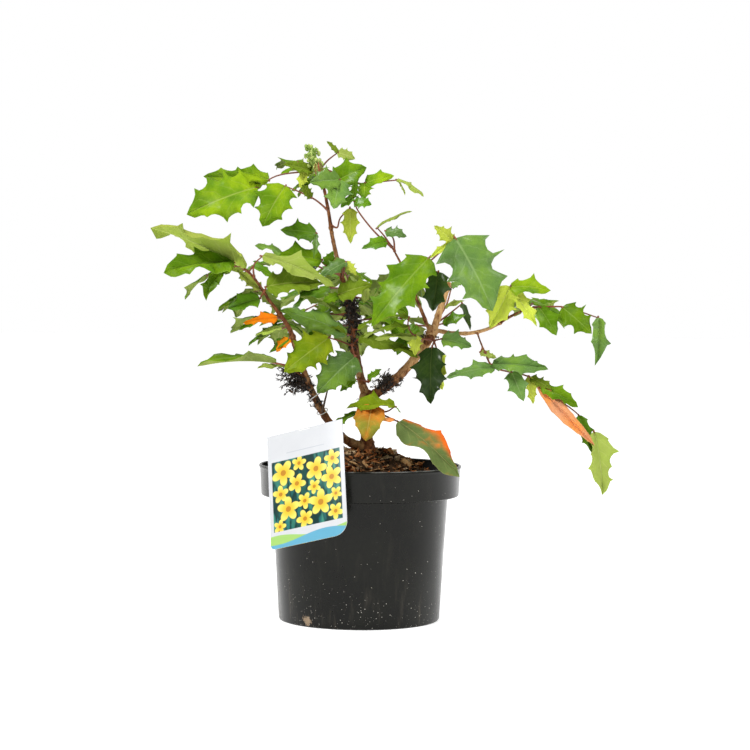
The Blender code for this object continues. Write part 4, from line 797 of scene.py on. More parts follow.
def label_finish(groups):
    """The printed card: flowers on leafy ground in a plain frame, with two coloured waves below."""
    made, recipe, shader, place = new_material("label")
    card = recipe.node("UVMap", {}, uv_map="card").outputs["UV"]
    parts = recipe.node("SeparateXYZ", {"Vector": card}).outputs
    x, y = parts["X"], parts["Y"]
    white = recipe.mix(recipe.noise(place, 60.0), (0.58, 0.59, 0.62), (0.67, 0.68, 0.70))
    ground = (0.004, 0.034, 0.032)
    for scale, turn, light in (((190, 70, 1), 1.0, (0.018, 0.170, 0.165)), ((150, 55, 1), 0.4, (0.050, 0.260, 0.190))):
        leaves = recipe.stretch(card, scale, (0, 0, turn))
        edge = recipe.cells(leaves, 1.0, "DISTANCE_TO_EDGE", voronoi_dimensions="2D").outputs["Distance"]
        drawn = recipe.cells(leaves, 1.0, voronoi_dimensions="2D").outputs["Color"]
        chosen = recipe.node("SeparateColor", {"Color": drawn}).outputs[0]
        face = recipe.math("MULTIPLY", recipe.step(edge, 0.02, 0.30), recipe.step(chosen, 0.30, 0.85))
        ground = recipe.mix(face, ground, light)
    picture = ground
    for centre_x, centre_y, radius, turn in BLOSSOMS:
        flower = use_group(recipe, groups["flower"], {
            "Card": card, "Centre": (centre_x, centre_y, 0), "Radius": radius, "Turn": turn})
        petals = recipe.mix(recipe.step(flower["Out"], 0.25, 0.95), (0.88, 0.55, 0.04), (0.93, 0.78, 0.16))
        petals = recipe.mix(recipe.step(flower["Out"], 0.26, 0.18), petals, (0.50, 0.22, 0.02))
        picture = recipe.mix(flower["Mask"], picture, petals)
    inside = recipe.math("MINIMUM", recipe.step(x, -0.0362, -0.0358), recipe.step(x, 0.0362, 0.0358))
    inside = recipe.math("MINIMUM", inside, recipe.step(y, -0.0392, -0.0388))
    inside = recipe.math("MINIMUM", inside, recipe.step(y, 0.0282, 0.0278))
    colour = recipe.mix(inside, white, picture)
    swell = recipe.math("SINE", recipe.math("MULTIPLY_ADD", x, 75.0, 0.9))
    wave = recipe.math("MULTIPLY_ADD", swell, 0.0026, y)
    colour = recipe.mix(recipe.step(wave, -0.0448, -0.0452), colour, (0.36, 0.60, 0.16))
    swell = recipe.math("SINE", recipe.math("MULTIPLY_ADD", x, 62.0, 3.6))
    wave = recipe.math("MULTIPLY_ADD", swell, 0.0034, y)
    colour = recipe.mix(recipe.step(wave, -0.0476, -0.0480), colour, (0.13, 0.40, 0.56))
    rule = recipe.math("ABSOLUTE", recipe.math("SUBTRACT", y, 0.0345))
    rule = recipe.math("MINIMUM", recipe.step(rule, 0.00045, 0.00035),
                       recipe.step(recipe.math("ABSOLUTE", x), 0.0202, 0.0198))
    colour = recipe.mix(recipe.math("MULTIPLY", rule, 0.6), colour, (0.42, 0.45, 0.50))
    rough = recipe.math("MULTIPLY_ADD", recipe.noise(place, 90.0), 0.12, 0.26)
    finish_shader(recipe, shader, colour, rough, recipe.noise(place, 400.0), 0.05, 0.0002)
    return made


class Sheet:
    """Gathers many small shapes into one mesh, with a finish, a place on the blade, a tone and a relief for each."""

    def __init__(self):
        self.corners, self.faces, self.finishes, self.blades, self.tones, self.reliefs = [], [], [], [], [], []
        self.palette = []

    def add(self, corners, faces, finish, blades=None, tone=1.0, relief=1.0):
        """Finish is one material for the whole shape, or a list with one for each face."""
        start = len(self.corners)
        self.corners += corners
        self.faces += [tuple(start + i for i in face) for face in faces]
        chosen = finish if isinstance(finish, list) else [finish] * len(faces)
        for item in chosen:
            if item not in self.palette:
                self.palette.append(item)
        self.finishes += [self.palette.index(item) for item in chosen]
        self.blades += blades or [(0.25, 0.5)] * len(corners)
        self.tones += [tone] * len(corners)
        self.reliefs += [relief] * len(corners)

    def build(self, name, sharp):
        mesh = bpy.data.meshes.new(name)
        mesh.from_pydata(self.corners, [], self.faces)
        for item in self.palette:
            mesh.materials.append(item)
        mesh.polygons.foreach_set("material_index", self.finishes)
        layer = mesh.uv_layers.new(name="blade")
        layer.data.foreach_set("uv", [c for loop in mesh.loops for c in self.blades[loop.vertex_index]])
        for kind, values in (("tone", self.tones), ("raised", self.reliefs)):
            mesh.attributes.new(kind, "FLOAT", "POINT").data.foreach_set("value", values)
        turn_outwards(mesh)
        mesh.shade_smooth()
        mesh.set_sharp_from_angle(angle=math.radians(sharp))
        made = bpy.data.objects.new(name, mesh)
        bpy.context.scene.collection.objects.link(made)
        return made


def turn_outwards(mesh):
    bm = bmesh.new()
    bm.from_mesh(mesh)
    bmesh.ops.recalc_face_normals(bm, faces=bm.faces)
    bm.to_mesh(mesh)
    bm.free()


def settle(piece, slot, *nodes):
    """The piece moves with the plant and stands for the CAD nodes; the slot is not used."""
    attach(piece, "root")
    if nodes:
        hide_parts(*nodes)
    return piece


def edge_stations(count, soft, dice):
    """One edge of a fine blade: share of the length, share of the width, and lift, in shares of the length."""
    sharpness = SOFT_SHARE if soft else 1.0
    spacing = (SPINE_END - SPINE_START) / count
    made = [(0.035, width_share(0.035) * 0.95, 0.0)]
    for k in range(count):
        spine = SPINE_START + spacing * (k + dice.uniform(-0.12, 0.12))
        lift = SPINE_LIFT * sharpness * dice.uniform(0.3, 1.3) * (1 if k % 2 else -0.7)
        made.append((spine, width_share(spine) * (1 + (SPINE_REACH - 1) * sharpness), lift))
        depth = min(HOLLOW_MOST, HOLLOW_DEPTH / count) * sharpness * dice.uniform(0.65, 1.20)
        for gap in HOLLOW_STATIONS:
            hollow = spine + spacing * 0.88 * gap
            sunk = depth * (4 * gap * (1 - gap)) ** 0.6
            made.append((hollow, width_share(hollow) * (1 - sunk), 0.3 * lift * (1 - gap)))
    return made


def add_blade(sheet, leaflet, upper, lower, soft, dice):
    """One spiny leaflet: arched and waved halves with a groove along the midrib, and its thin underside."""
    length = leaflet.length
    thick = length * LEAF_THICKNESS / 2
    count = dice.choice(SPINE_COUNTS) + int(length / SPINE_EVERY)
    edges = {side: edge_stations(count, soft, dice) for side in (1, -1)}
    arch = length * dice.uniform(*ARCH)
    rolls = {side: length * dice.uniform(*ROLL) for side in edges}
    sways = {side: (length * dice.uniform(*WAVE), dice.uniform(*WAVES), dice.uniform(0, math.tau)) for side in edges}
    corners = [leaflet.point(0, 0, 0), leaflet.point(1, 0, 0)]
    blades = [(0.5, 0.0), (0.5, 1.0)]
    ribs = {}
    for skin in (1, -1):
        ribs[skin] = []
        for first, second in zip(edges[1], edges[-1]):
            t = (first[0] + second[0]) / 2
            ribs[skin].append(len(corners))
            corners.append(leaflet.point(t, 0, thick * skin))
            blades.append((0.5, t))

    def add_row(side, share, skin):
        """Corners along one half at a share of its width, on the upper skin, the lower or the edge."""
        row = []
        height, waves, phase = sways[side]
        for t, width, lift in edges[side]:
            level = min(1.0, 5 * t, 5 * (1 - t) + 0.2)
            form = arch * math.sin(math.pi * share / 1.1) - rolls[side] * share ** 3
            form += height * math.sin(math.tau * waves * t + phase) * share ** 2 * level
            even = width_share(t)
            reach = share * (even + (width - even) * share)
            row.append(len(corners))
            corners.append(leaflet.point(t, side * reach, form + length * lift * share ** 4 + thick * skin))
            blades.append((0.5 + 0.5 * side * share, t))
        return row

    faces, finishes = [], []
    for side in (1, -1):
        rim = add_row(side, 1.0, 0)
        for shares, skin, finish in ((UPPER_ROWS, 1, upper), (LOWER_ROWS, -1, lower)):
            rows = [ribs[skin]] + [add_row(side, share, skin) for share in shares] + [rim]
            for a, b in zip(rows, rows[1:]):
                made = [(0, a[0], b[0]), (1, a[-1], b[-1])]
                made += [(a[i], a[i + 1], b[i + 1], b[i]) for i in range(len(a) - 1)]
                faces += made
                finishes += [finish] * len(made)
    sheet.add(corners, faces, finishes, blades, dice.uniform(0.80, 1.22), min(1.0, (length / FULL_RELIEF) ** 2))


def grow_plant():
    """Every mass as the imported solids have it: its stem, its stalks and the leaflets that found room."""
    solids = [tree_of(name) for name in ["pot", "soil", "plant_label", *LIMBS]]
    others, grown = [], {}
    for name, mass in MASSES.items():
        grown[name] = grow_mass(mass, solids, others)
        others.append(tree_of(name))
    return grown


def dress_mass(name, mass, grown, finishes):
    """The mass's leaves in their tints, and its stalks."""
    stem, stalks, leaflets = grown
    dice = random.Random(mass.seed * 7)
    leaves, twigs = Sheet(), Sheet()
    for leaflet, tint in leaflets:
        under = finishes["fresh_underside" if tint in FRESH else "underside"]
        add_blade(leaves, leaflet, finishes[tint], under, tint in SOFT, dice)
    for points in stalks:
        path = smooth_path(points, 5)
        radii = []
        for i in range(len(path)):
            share = i / (len(path) - 1)
            radius = RACHIS_RADIUS + (RACHIS_TIP_RADIUS - RACHIS_RADIUS) * share
            radii.append(radius * (1 + 0.6 * max(0, 1 - share * 9)))
        twigs.add(*tube_shape(path, radii, 7), finishes["stalk"])
    for leaflet, tint in leaflets:
        foot = leaflet.point(-0.03, 0, 0)
        swell = [foot, leaflet.point(0.02, 0, 0), leaflet.point(0.06, 0, -0.0004)]
        twigs.add(*tube_shape(swell, [0.0009, 0.0010, 0.0005], 6), finishes["stalk"])
    settle(leaves.build(name + "_leaves", BLADE_SHARP), "foliage", name)
    settle(twigs.build(name + "_stalks", BLADE_SHARP), "foliage", name)


def curve(foot, bend, tip, count):
    """Points along the smooth bend from foot to tip."""
    foot, bend, tip = Vector(foot), Vector(bend), Vector(tip)
    steps = [i / (count - 1) for i in range(count)]
    return [foot * (1 - t) ** 2 + bend * 2 * t * (1 - t) + tip * t * t for t in steps]


def heading_at(points, i):
    """The direction of the line through the points at one of them, true also at its two ends."""
    last = len(points) - 1
    if last == 1:
        return (points[1] - points[0]).normalized()
    if i == 0:
        return (points[1] * 4 - points[0] * 3 - points[2]).normalized()
    if i == last:
        return (points[last] * 3 - points[last - 1] * 4 + points[last - 2]).normalized()
    return (points[i + 1] - points[i - 1]).normalized()


def label_axes():
    """The card's directions: across it, up it, and out of its face."""
    yaw, lean, roll = math.radians(LABEL_YAW), math.radians(LABEL_LEAN), math.radians(LABEL_ROLL)
    out = Vector((-math.sin(yaw), -math.cos(yaw), 0))
    across = Vector((math.cos(yaw), -math.sin(yaw), 0))
    upright = UP * math.cos(lean) - out * math.sin(lean)
    turned = across * math.cos(roll) + upright * math.sin(roll)
    upright = upright * math.cos(roll) - across * math.sin(roll)
    return turned, upright, turned.cross(upright)


def limb_radius(name, limb, share, height):
    """The limb's radius at a share of its length: even taper, a knot at a fork, a flare at the root."""
    radius = limb.thick + (limb.thin - limb.thick) * share
    radius += KNOT_SWELL.get(name, 0) * max(0, 1 - (1 - share) * 5)
    if name == "trunk":
        above = (height - SOIL_TOP) / FLARE_HEIGHT
        radius += ROOT_FLARE * max(0, 1 - above) ** 2
    return radius


def direction(heading, rise):
    """The unit vector at a heading from +X and a rise above level."""
    heading, rise = math.radians(heading), math.radians(rise)
    return Vector((math.cos(heading) * math.cos(rise), math.sin(heading) * math.cos(rise), math.sin(rise)))


def width_share(t):
    """Half the leaflet's width at a share of its length: an egg shape, broadest below the middle."""
    return math.sin(math.pi * t ** 0.72) ** 0.75


def side_stations():
    """Shares of the length and of the width along one edge of a leaflet: tooth, notch, tooth."""
    stations = [(SHOULDER, width_share(SHOULDER) * SHOULDER_FILL)]
    for k in range(TEETH):
        tooth = FIRST_TOOTH + TOOTH_SPACING * k
        stations.append((tooth, width_share(tooth)))
        notch = tooth + NOTCH_AFTER
        stations.append((notch, width_share(notch) * (1 - TOOTH_DEPTH)))
    return stations


class Leaflet:
    """One toothed leaflet: where it starts, which way it points and faces, and how long it is."""

    def __init__(self, root, ahead, face, length, wide=1.0):
        self.root = root - ahead * ROOT_SINK
        self.ahead = ahead
        self.face = (face - ahead * face.dot(ahead)).normalized()
        self.across = self.ahead.cross(self.face)
        self.length = length
        self.half_width = length * LEAF_WIDTH * wide / 2

    def point(self, t, side, off):
        """A point at a share of the length, a share of the half width and a distance off the middle."""
        turn = math.radians(LEAF_DROOP)
        reach = self.length * math.sin(turn * t) / turn
        drop = self.length * (1 - math.cos(turn * t)) / turn
        normal = self.face * math.cos(turn * t) + self.ahead * math.sin(turn * t)
        half = side * self.half_width
        fold = math.radians(LEAF_FOLD)
        centre = self.root + self.ahead * reach - self.face * drop
        return centre + self.across * half * math.cos(fold) + normal * (abs(half) * math.sin(fold) + off)

    def edge(self, side, off, grow=0.0):
        """The toothed edge on one side, from the root to the tip."""
        made = []
        for i, (t, width) in enumerate(side_stations()):
            lift = TOOTH_LIFT * self.length * (1 if i % 2 else -0.5)
            made.append((t, self.point(t, side * (width + grow), off + lift)))
        return made

    def layer(self, off, grow=0.0):
        """Both edges and the midrib at a distance off the middle surface."""
        midrib = [(t, self.point(t, 0, off)) for t in MIDRIB_STATIONS]
        return self.edge(1, off, grow), midrib, self.edge(-1, off, grow)

    def closed(self, start=0.0):
        """Corners and faces of the solid leaflet from a share of its length on, sharp at the edge."""
        half = self.length * LEAF_THICKNESS / 2
        left, right = ([c for c in self.edge(side, 0) if c[0] > start] for side in (1, -1))
        upper, lower = ([c for c in self.layer(off)[1] if c[0] > start] for off in (half, -half))
        root, tip = (start, self.point(start, 0, 0)), (1.0, self.point(1, 0, 0))
        corners = [root, tip] + left + upper + right + lower
        n, m = len(left), len(upper)
        index = {"left": range(2, 2 + n), "upper": range(2 + n, 2 + n + m),
                 "right": range(2 + n + m, 2 + 2 * n + m), "lower": range(2 + 2 * n + m, 2 + 2 * n + 2 * m)}
        faces = []
        for edge in ("left", "right"):
            for rib in ("upper", "lower"):
                faces += zip_faces([0, *index[rib], 1], [0, *index[edge], 1], corners)
        return [c[1] for c in corners], faces

    def padded(self):
        """Corners and faces of a sheath round the leaflet, which nothing else may cross."""
        corners, faces = [], []
        grow = CLEARANCE / self.half_width
        for off in (-CLEARANCE, CLEARANCE):
            left, rib, right = self.layer(off + math.copysign(self.length * LEAF_THICKNESS / 2, off), grow)
            start = len(corners)
            near = (SHEATH_START, self.point(SHEATH_START, 0, off))
            far = (1.0, self.point(1.0 + grow, 0, off))
            corners += [near, far] + left + rib + right
            n, m = len(left), len(rib)
            ribs = [start, *range(start + 2 + n, start + 2 + n + m), start + 1]
            for first in (start + 2, start + 2 + n + m):
                faces += zip_faces(ribs, [start, *range(first, first + n), start + 1], corners)
        return [c[1] for c in corners], faces


def zip_faces(chain_a, chain_b, corners):
    """Triangles between two chains that share their ends, stepping along by share of the length."""
    faces = []
    i = k = 0
    while i < len(chain_a) - 1 or k < len(chain_b) - 1:
        ahead_a = corners[chain_a[i + 1]][0] if i < len(chain_a) - 1 else 9
        ahead_b = corners[chain_b[k + 1]][0] if k < len(chain_b) - 1 else 9
        if ahead_a <= ahead_b:
            face = (chain_a[i], chain_a[i + 1], chain_b[k])
            i += 1
        else:
            face = (chain_a[i], chain_b[k + 1], chain_b[k])
            k += 1
        if len(set(face)) == 3:
            faces.append(face)
    return faces


def point_on(points, share):
    """The point at a share of the line, counted by its corners."""
    place = share * (len(points) - 1)
    low = min(int(place), len(points) - 2)
    return points[low].lerp(points[low + 1], place - low)


def rachis_points(stem, leaf):
    """The leaf's own stalk: it starts inside the stem and bends evenly along its length."""
    point = point_on(stem, leaf.at)
    made = [point]
    if isinstance(leaf, Spray):
        return made + [Vector(place) * MM for place in leaf.line]
    steps = RACHIS_STEPS + int(leaf.length / RACHIS_STEP)
    step = leaf.length / steps
    for i in range(steps):
        share = (i + 0.5) / steps
        point = point + direction(leaf.heading, leaf.rise + leaf.bend * share) * step
        made.append(point)
    return made


def placed_leaflet(blade, points):
    """The leaflet that reaches from its share of the stalk to its own tip."""
    root = point_on(points, blade.share)
    chord = Vector(blade.tip) * MM - root
    half_droop = math.radians(LEAF_DROOP) / 2
    length = chord.length * half_droop / math.sin(half_droop)
    level = chord.normalized()
    face = Vector(blade.face)
    face = (face - level * face.dot(level)).normalized()
    ahead = level * math.cos(half_droop) + face * math.sin(half_droop)
    normal = face * math.cos(half_droop) - level * math.sin(half_droop)
    return Leaflet(root, ahead, normal, length, blade.wide)


def leaflets_of(leaf, points, dice, tints):
    """For each leaflet of the plan, the choices of place and turn that it may take, best first, and its tint."""
    if isinstance(leaf, Spray):
        yield from (([placed_leaflet(blade, points)], blade.tint or tints[0]) for blade in leaf.blades)
        return
    index = -1
    joints = leaf.plan.split()
    for i, joint in enumerate(joints):
        share = 1.0 if len(joints) == 1 else leaf.first + (1 - leaf.first) * i / (len(joints) - 1)
        root = point_on(points, share)
        low = min(int(share * (len(points) - 1)), len(points) - 2)
        along = (points[low + 1] - points[low]).normalized()
        level = along.cross(UP).normalized()
        roll = math.radians(leaf.roll)
        right = level * math.cos(roll) - level.cross(along) * math.sin(roll)
        normal = right.cross(along)
        for letter in joint:
            index += 1
            spread_off, hang_off, twist = (dice.uniform(-WOBBLE, WOBBLE) for _ in range(3))
            length = leaf.size * (1 + dice.uniform(-SIZE_WOBBLE, SIZE_WOBBLE))
            choices = []
            for more_hang, more_spread in TURNS:
                if letter == "T":
                    dip = math.radians(leaf.dip + 0.5 * (hang_off + more_hang))
                    swing = math.radians(leaf.turn + 0.5 * spread_off + more_spread)
                    onward = along * math.cos(swing) + right * math.sin(swing)
                    ahead = onward * math.cos(dip) - normal * math.sin(dip)
                    face = normal * math.cos(dip) + onward * math.sin(dip)
                    size = length
                    lean = twist + leaf.twist
                else:
                    side = right if letter == "R" else -right
                    hang = math.radians(leaf.hang + hang_off + more_hang)
                    spread = math.radians(leaf.spread + spread_off + more_spread)
                    outward = side * math.cos(hang) - normal * math.sin(hang)
                    ahead = along * math.cos(spread) + outward * math.sin(spread)
                    face = normal * math.cos(hang) + side * math.sin(hang)
                    size = length * leaf.share
                    lean = twist
                face = Matrix.Rotation(math.radians(lean), 3, ahead) @ face
                choices.append(Leaflet(root, ahead.normalized(), face, size))
            yield choices, tints[index % len(tints)]


def clear_of(shape, trees):
    """True where the shape crosses none of the surfaces."""
    corners, faces = shape
    sheath = BVHTree.FromPolygons(corners, faces)
    return not any(sheath.overlap(other) for other in trees)


def stem_points(mass):
    """The mass's stem, from its bough's tip or from the bark of the limb that carries it."""
    if not isinstance(mass.foot[0], str):
        return curve(mass.foot, mass.bend, mass.tip, STEM_POINTS)
    name, share = mass.foot
    limb = LIMBS[name]
    foot, bend, tip = Vector(limb.foot), Vector(limb.bend), Vector(limb.tip)
    point = foot * (1 - share) ** 2 + bend * 2 * share * (1 - share) + tip * share * share
    along = ((bend - foot) * (1 - share) + (tip - bend) * share).normalized()
    toward = (Vector(mass.bend) - point).normalized()
    side = (toward - along * toward.dot(along)).normalized()
    slant = math.sqrt(max(0, 1 - toward.dot(side) ** 2))
    start = point + side * (limb_radius(name, limb, share, point.z) + BARK_GAP + mass.thick * slant)
    return curve(start, mass.bend, mass.tip, STEM_POINTS)


def grow_mass(mass, limb_trees, other_trees):
    """The mass's stem, the stalks and the leaflets that find room: in its reach and clear of the rest."""
    dice = random.Random(mass.seed)
    stem = stem_points(mass)
    centre = (stem[0] + stem[-1]) / 2
    stalks, leaflets, own_trees = [], [], []
    for leaf in mass.leaves:
        points = rachis_points(stem, leaf)
        inside = all((p - centre).length < mass.reach for p in points)
        clear_start = points[0] + (points[1] - points[0]).normalized() * STALK_START
        sheath = tube_shape([clear_start] + points[1:], [RACHIS_RADIUS + CLEARANCE] * len(points), STALK_SIDES)
        room = inside and clear_of(sheath, limb_trees + other_trees)
        if room:
            stalks.append(points)
        for choices, tint in leaflets_of(leaf, points, dice, (leaf.tint or mass.tint).split()):
            if not room:
                continue
            within = [c for c in choices if (c.point(1, 0, 0) - centre).length < mass.reach]
            fits = [c for c in within if clear_of(c.padded(), limb_trees + other_trees)]
            if fits:
                fits = fits[:1] if isinstance(leaf, Leaf) and leaf.plan == "T" else fits[:NEAR_TURNS]
                blades = [BVHTree.FromPolygons(*c.closed(BLADE_START)) for c in fits]
                crossed = [sum(len(blade.overlap(own)) for own in own_trees) for blade in blades]
                best = crossed.index(min(crossed))
                leaflets.append((fits[best], tint))
                own_trees.append(blades[best])
        if room:
            own_trees.append(BVHTree.FromPolygons(*sheath))
    return stem, stalks, leaflets


def bough_path(name, grown):
    """A bough's axis with its radius at each point, run on a little at both ends to meet its neighbours."""
    if name in LIMBS:
        limb = LIMBS[name]
        points = curve(limb.foot, limb.bend, limb.tip, 26)
        radii = [limb_radius(name, limb, i / 25, p.z) for i, p in enumerate(points)]
    else:
        mass = MASSES[name]
        points = smooth_path(grown[name][0], 6)
        radii = [mass.thick + (mass.thin - mass.thick) * i / (len(points) - 1) for i in range(len(points))]
    start = points[0] - (points[1] - points[0]).normalized() * JOIN
    end = points[-1] + (points[-1] - points[-2]).normalized() * JOIN
    if name == "cut_stub" or name in MASSES:
        return [start] + points, [radii[0]] + radii
    return [start] + points + [end], [radii[0]] + radii + [radii[-1]]


def swell_at_nodes(points, radii, dice):
    """Old leaf scars: the bough is a little thicker at uneven steps."""
    walked, scar = 0.0, dice.uniform(0.004, 0.012)
    made = list(radii)
    for i in range(1, len(points)):
        walked += (points[i] - points[i - 1]).length
        if walked > scar:
            made[i] *= 1.13
            scar = walked + dice.uniform(0.007, 0.016)
    return made


def build_stems(grown, finishes):
    """All woody stems as one skin, with bark relief that runs along each bough."""
    dice = random.Random(5)
    names = [*LIMBS, *MASSES]
    paths = {name: bough_path(name, grown) for name in names}
    rough = Sheet()
    for name, (points, radii) in paths.items():
        inner = [radius - BARK_VOXEL / 2 for radius in swell_at_nodes(points, radii, dice)]
        rough.add(*tube_shape(points, inner, 14), finishes["bark"])
    stems = rough.build("stems", 180)
    for centre, radius in KNOTS:
        bpy.ops.object.select_all(action="DESELECT")
        bpy.ops.mesh.primitive_ico_sphere_add(subdivisions=3, radius=radius, location=centre)
        knot = bpy.context.object
        stems.select_set(True)
        bpy.context.view_layer.objects.active = stems
        bpy.ops.object.join()
    skin = stems.modifiers.new("skin", "REMESH")
    skin.mode = "VOXEL"
    skin.voxel_size = BARK_VOXEL
    bpy.context.view_layer.objects.active = stems
    bpy.ops.object.modifier_apply(modifier=skin.name)
    carve_bark(stems.data, paths)
    stems.data.shade_smooth()
    return settle(stems, "bark", *LIMBS)


def carve_bark(mesh, paths):
    """Lift and sink the skin by noise drawn out along the nearest bough, and note how pale and how deep it is."""
    places, axis = [], []
    for name, (points, radii) in paths.items():
        walked = 7.0 * len(axis)
        for i in range(len(points) - 1):
            along = (points[i + 1] - points[i]).normalized()
            foot_pale, tip_pale = BARK_PALE.get(name, MASS_PALE)
            pale = foot_pale + (tip_pale - foot_pale) * i / (len(points) - 1)
            axis.append((points[i], along, walked, radii[i], pale))
            places.append(points[i])
            walked += (points[i + 1] - points[i]).length
    near = KDTree(len(places))
    for i, place in enumerate(places):
        near.insert(place, i)
    near.balance()
    pales, depths, moved = [], [], []
    for vert in mesh.vertices:
        point, along, walked, radius, pale = axis[near.find(vert.co)[1]]
        off = vert.co - point
        ahead = off.dot(along)
        side = off - along * ahead
        distance = walked + ahead
        ridges = noise.noise(side * 1000 + Vector((distance * 150, 0, 0)))
        flakes = noise.noise(side * 430 + Vector((0, distance * 260, 4)))
        grain = noise.noise(vert.co * 1700)
        relief = 0.5 + 0.28 * ridges + 0.22 * flakes + 0.08 * grain
        size = min(1.0, radius / 0.0045)
        moved.append(vert.co + vert.normal * BARK_RELIEF * size * 2 * (relief - 0.5))
        pales.append(pale)
        depths.append(relief)
    for vert, place in zip(mesh.vertices, moved):
        vert.co = place
    for name, values in (("pale", pales), ("relief", depths)):
        mesh.attributes.new(name, "FLOAT", "POINT").data.foreach_set("value", values)


def build_tufts(grown, finishes):
    """Dead bud scales, dark and tangled, on threads that wander out from the boughs."""
    dice = random.Random(31)
    sheet = Sheet()
    kinds = [finishes[name] for name in ("scale", "scale", "scale", "scale", "scale_pale")]

    def any_way():
        return Vector([dice.uniform(-1, 1) for _ in range(3)])

    for tuft in TUFTS:
        points, radii = bough_path(tuft.bough, grown)
        for _ in range(tuft.count):
            place = dice.uniform(tuft.low, tuft.high) * (len(points) - 1)
            i = min(int(place), len(points) - 2)
            foot = points[i].lerp(points[i + 1], place - i)
            along = (points[i + 1] - points[i]).normalized()
            out = Matrix.Rotation(dice.uniform(0, math.tau), 3, along) @ along.orthogonal().normalized()
            out = (out + Vector(tuft.lean) * tuft.pull).normalized()
            line = [foot + out * radii[i] * 0.6]
            ahead = out
            for _ in range(2 + int(tuft.long * dice.uniform(0.3, 1.0) / THREAD_STEP)):
                ahead = (ahead + any_way() * THREAD_WANDER + Vector(tuft.lean) * tuft.pull * 0.2).normalized()
                line.append(line[-1] + ahead * THREAD_STEP)
            thin = [THREAD_RADIUS * (1 - 0.6 * k / (len(line) - 1)) for k in range(len(line))]
            sheet.add(*tube_shape(line, thin, 4), dice.choice(kinds))
            for root in line[1:]:
                way = (ahead + any_way() * 1.3).normalized()
                size = dice.uniform(*SCALES_LONG)
                bend = any_way() * 0.5
                scale = [root + (way + bend * t) * size * t for t in (0, 0.3, 0.6, 1.0)]
                sheet.add(*scale_shape(scale, dice.choice(SCALES_WIDE), any_way()), dice.choice(kinds))
    sheet.add(*tube_shape(curve(*TWIG, 8), [0.0013 - 0.0001 * i for i in range(8)], 7), finishes["scale_pale"])
    return settle(sheet.build("bud_scales", 60), "bark")


def scale_shape(line, wide, out):
    """A thin scale along a line: a flat lens in section, pointed at its end."""
    corners = []
    for i, point in enumerate(line[:-1]):
        ahead = (line[i + 1] - point).normalized()
        across = ahead.cross(out)
        across = across.normalized() if across.length > 0.1 else ahead.orthogonal().normalized()
        up = across.cross(ahead)
        share = (1.0, 0.95, 0.6)[i]
        corners += [point + across * wide * share, point + up * wide * 0.35, point - across * wide * share,
                    point - up * wide * 0.35]
    corners.append(line[-1])
    faces = [(3, 2, 1, 0)]
    for low in (0, 4):
        faces += [(low + k, low + (k + 1) % 4, low + 4 + (k + 1) % 4, low + 4 + k) for k in range(4)]
    faces += [(8 + k, 8 + (k + 1) % 4, 12) for k in range(4)]
    return corners, faces


def ball_shape(centre, radius, stretch=1.0):
    """A small faceted ball, drawn out along Z."""
    bm = bmesh.new()
    bmesh.ops.create_icosphere(bm, subdivisions=1, radius=radius)
    corners = [centre + Vector((v.co.x, v.co.y, v.co.z * stretch)) for v in bm.verts]
    faces = [tuple(v.index for v in f.verts) for f in bm.faces]
    bm.free()
    return corners, faces


def build_buds(finishes):
    """The tight spikes of green flower buds in the middle of the top whorl, and the bracts beside them."""
    dice = random.Random(77)
    sheet = Sheet()
    spike = curve(*SPIKE_PATH, 12)
    for tilt in SPIKE_TILTS:
        line = [p + Vector(tilt) * (i / 11) for i, p in enumerate(spike)]
        sheet.add(*tube_shape(line, [0.0011] * 10 + [0.0008, 0.0005], 6), finishes["bud"])
        for _ in range(FLOWER_BUDS // 3):
            place = dice.uniform(0.05, 1.0) * 11
            i = min(int(place), 10)
            turn = dice.uniform(0, math.tau)
            wide = SPIKE_RADIUS * dice.uniform(0.55, 0.95) * (1 - 0.35 * (place / 11) ** 3)
            centre = line[i] + Vector((math.cos(turn) * wide, math.sin(turn) * wide, dice.uniform(0, 0.002)))
            finish = finishes[dice.choice(("bud", "bud_pale", "bud_pale"))]
            sheet.add(*ball_shape(centre, dice.uniform(0.0014, 0.0022), 1.25), finish)
            sheet.add(*tube_shape([line[i], (line[i] + centre) / 2, centre], [0.0004] * 3, 4), finishes["bud"])
    foot, bend, tip = (Vector(place) for place in BRACTS)
    for k in range(BRACT_COUNT):
        turn = math.tau * k * 0.382
        ring = Vector((math.cos(turn), math.sin(turn), 0))
        share = k / (BRACT_COUNT - 1)
        start = foot.lerp(bend, share * 0.7)
        long = (tip - foot).length * (1.0 - 0.45 * share)
        line = [start + (tip - foot).normalized() * long * t + ring * BRACT_SPREAD * (0.5 + 1.6 * t - 1.5 * t * t)
                for t in (0, 0.33, 0.66, 1.0)]
        finish = finishes["bract_red"] if share < 0.4 else finishes["bract"]
        sheet.add(*scale_shape(line, BRACT_WIDE * dice.uniform(0.7, 1.1), ring), finish)
    return settle(sheet.build("flower_buds", 80), "foliage", "top_foliage")


def build_ties(grown, finishes):
    """Two thin white ties round the left bough."""
    points, radii = bough_path("left_bough", grown)
    sheet = Sheet()
    for share, radius, tilt in TIES:
        i = int(share * (len(points) - 2))
        along = (points[i + 1] - points[i]).normalized()
        across = along.orthogonal().normalized()
        beside = along.cross(across)
        lean = Matrix.Rotation(math.radians(tilt), 3, across)
        ring = []
        for k in range(28):
            turn = math.tau * k / 28
            ring.append(points[i] + lean @ (across * math.cos(turn) * radius + beside * math.sin(turn) * radius * 0.8))
        sheet.add(*ring_shape(ring, TIE_RADIUS), finishes["tie"])
    return settle(sheet.build("ties", 60), "label")


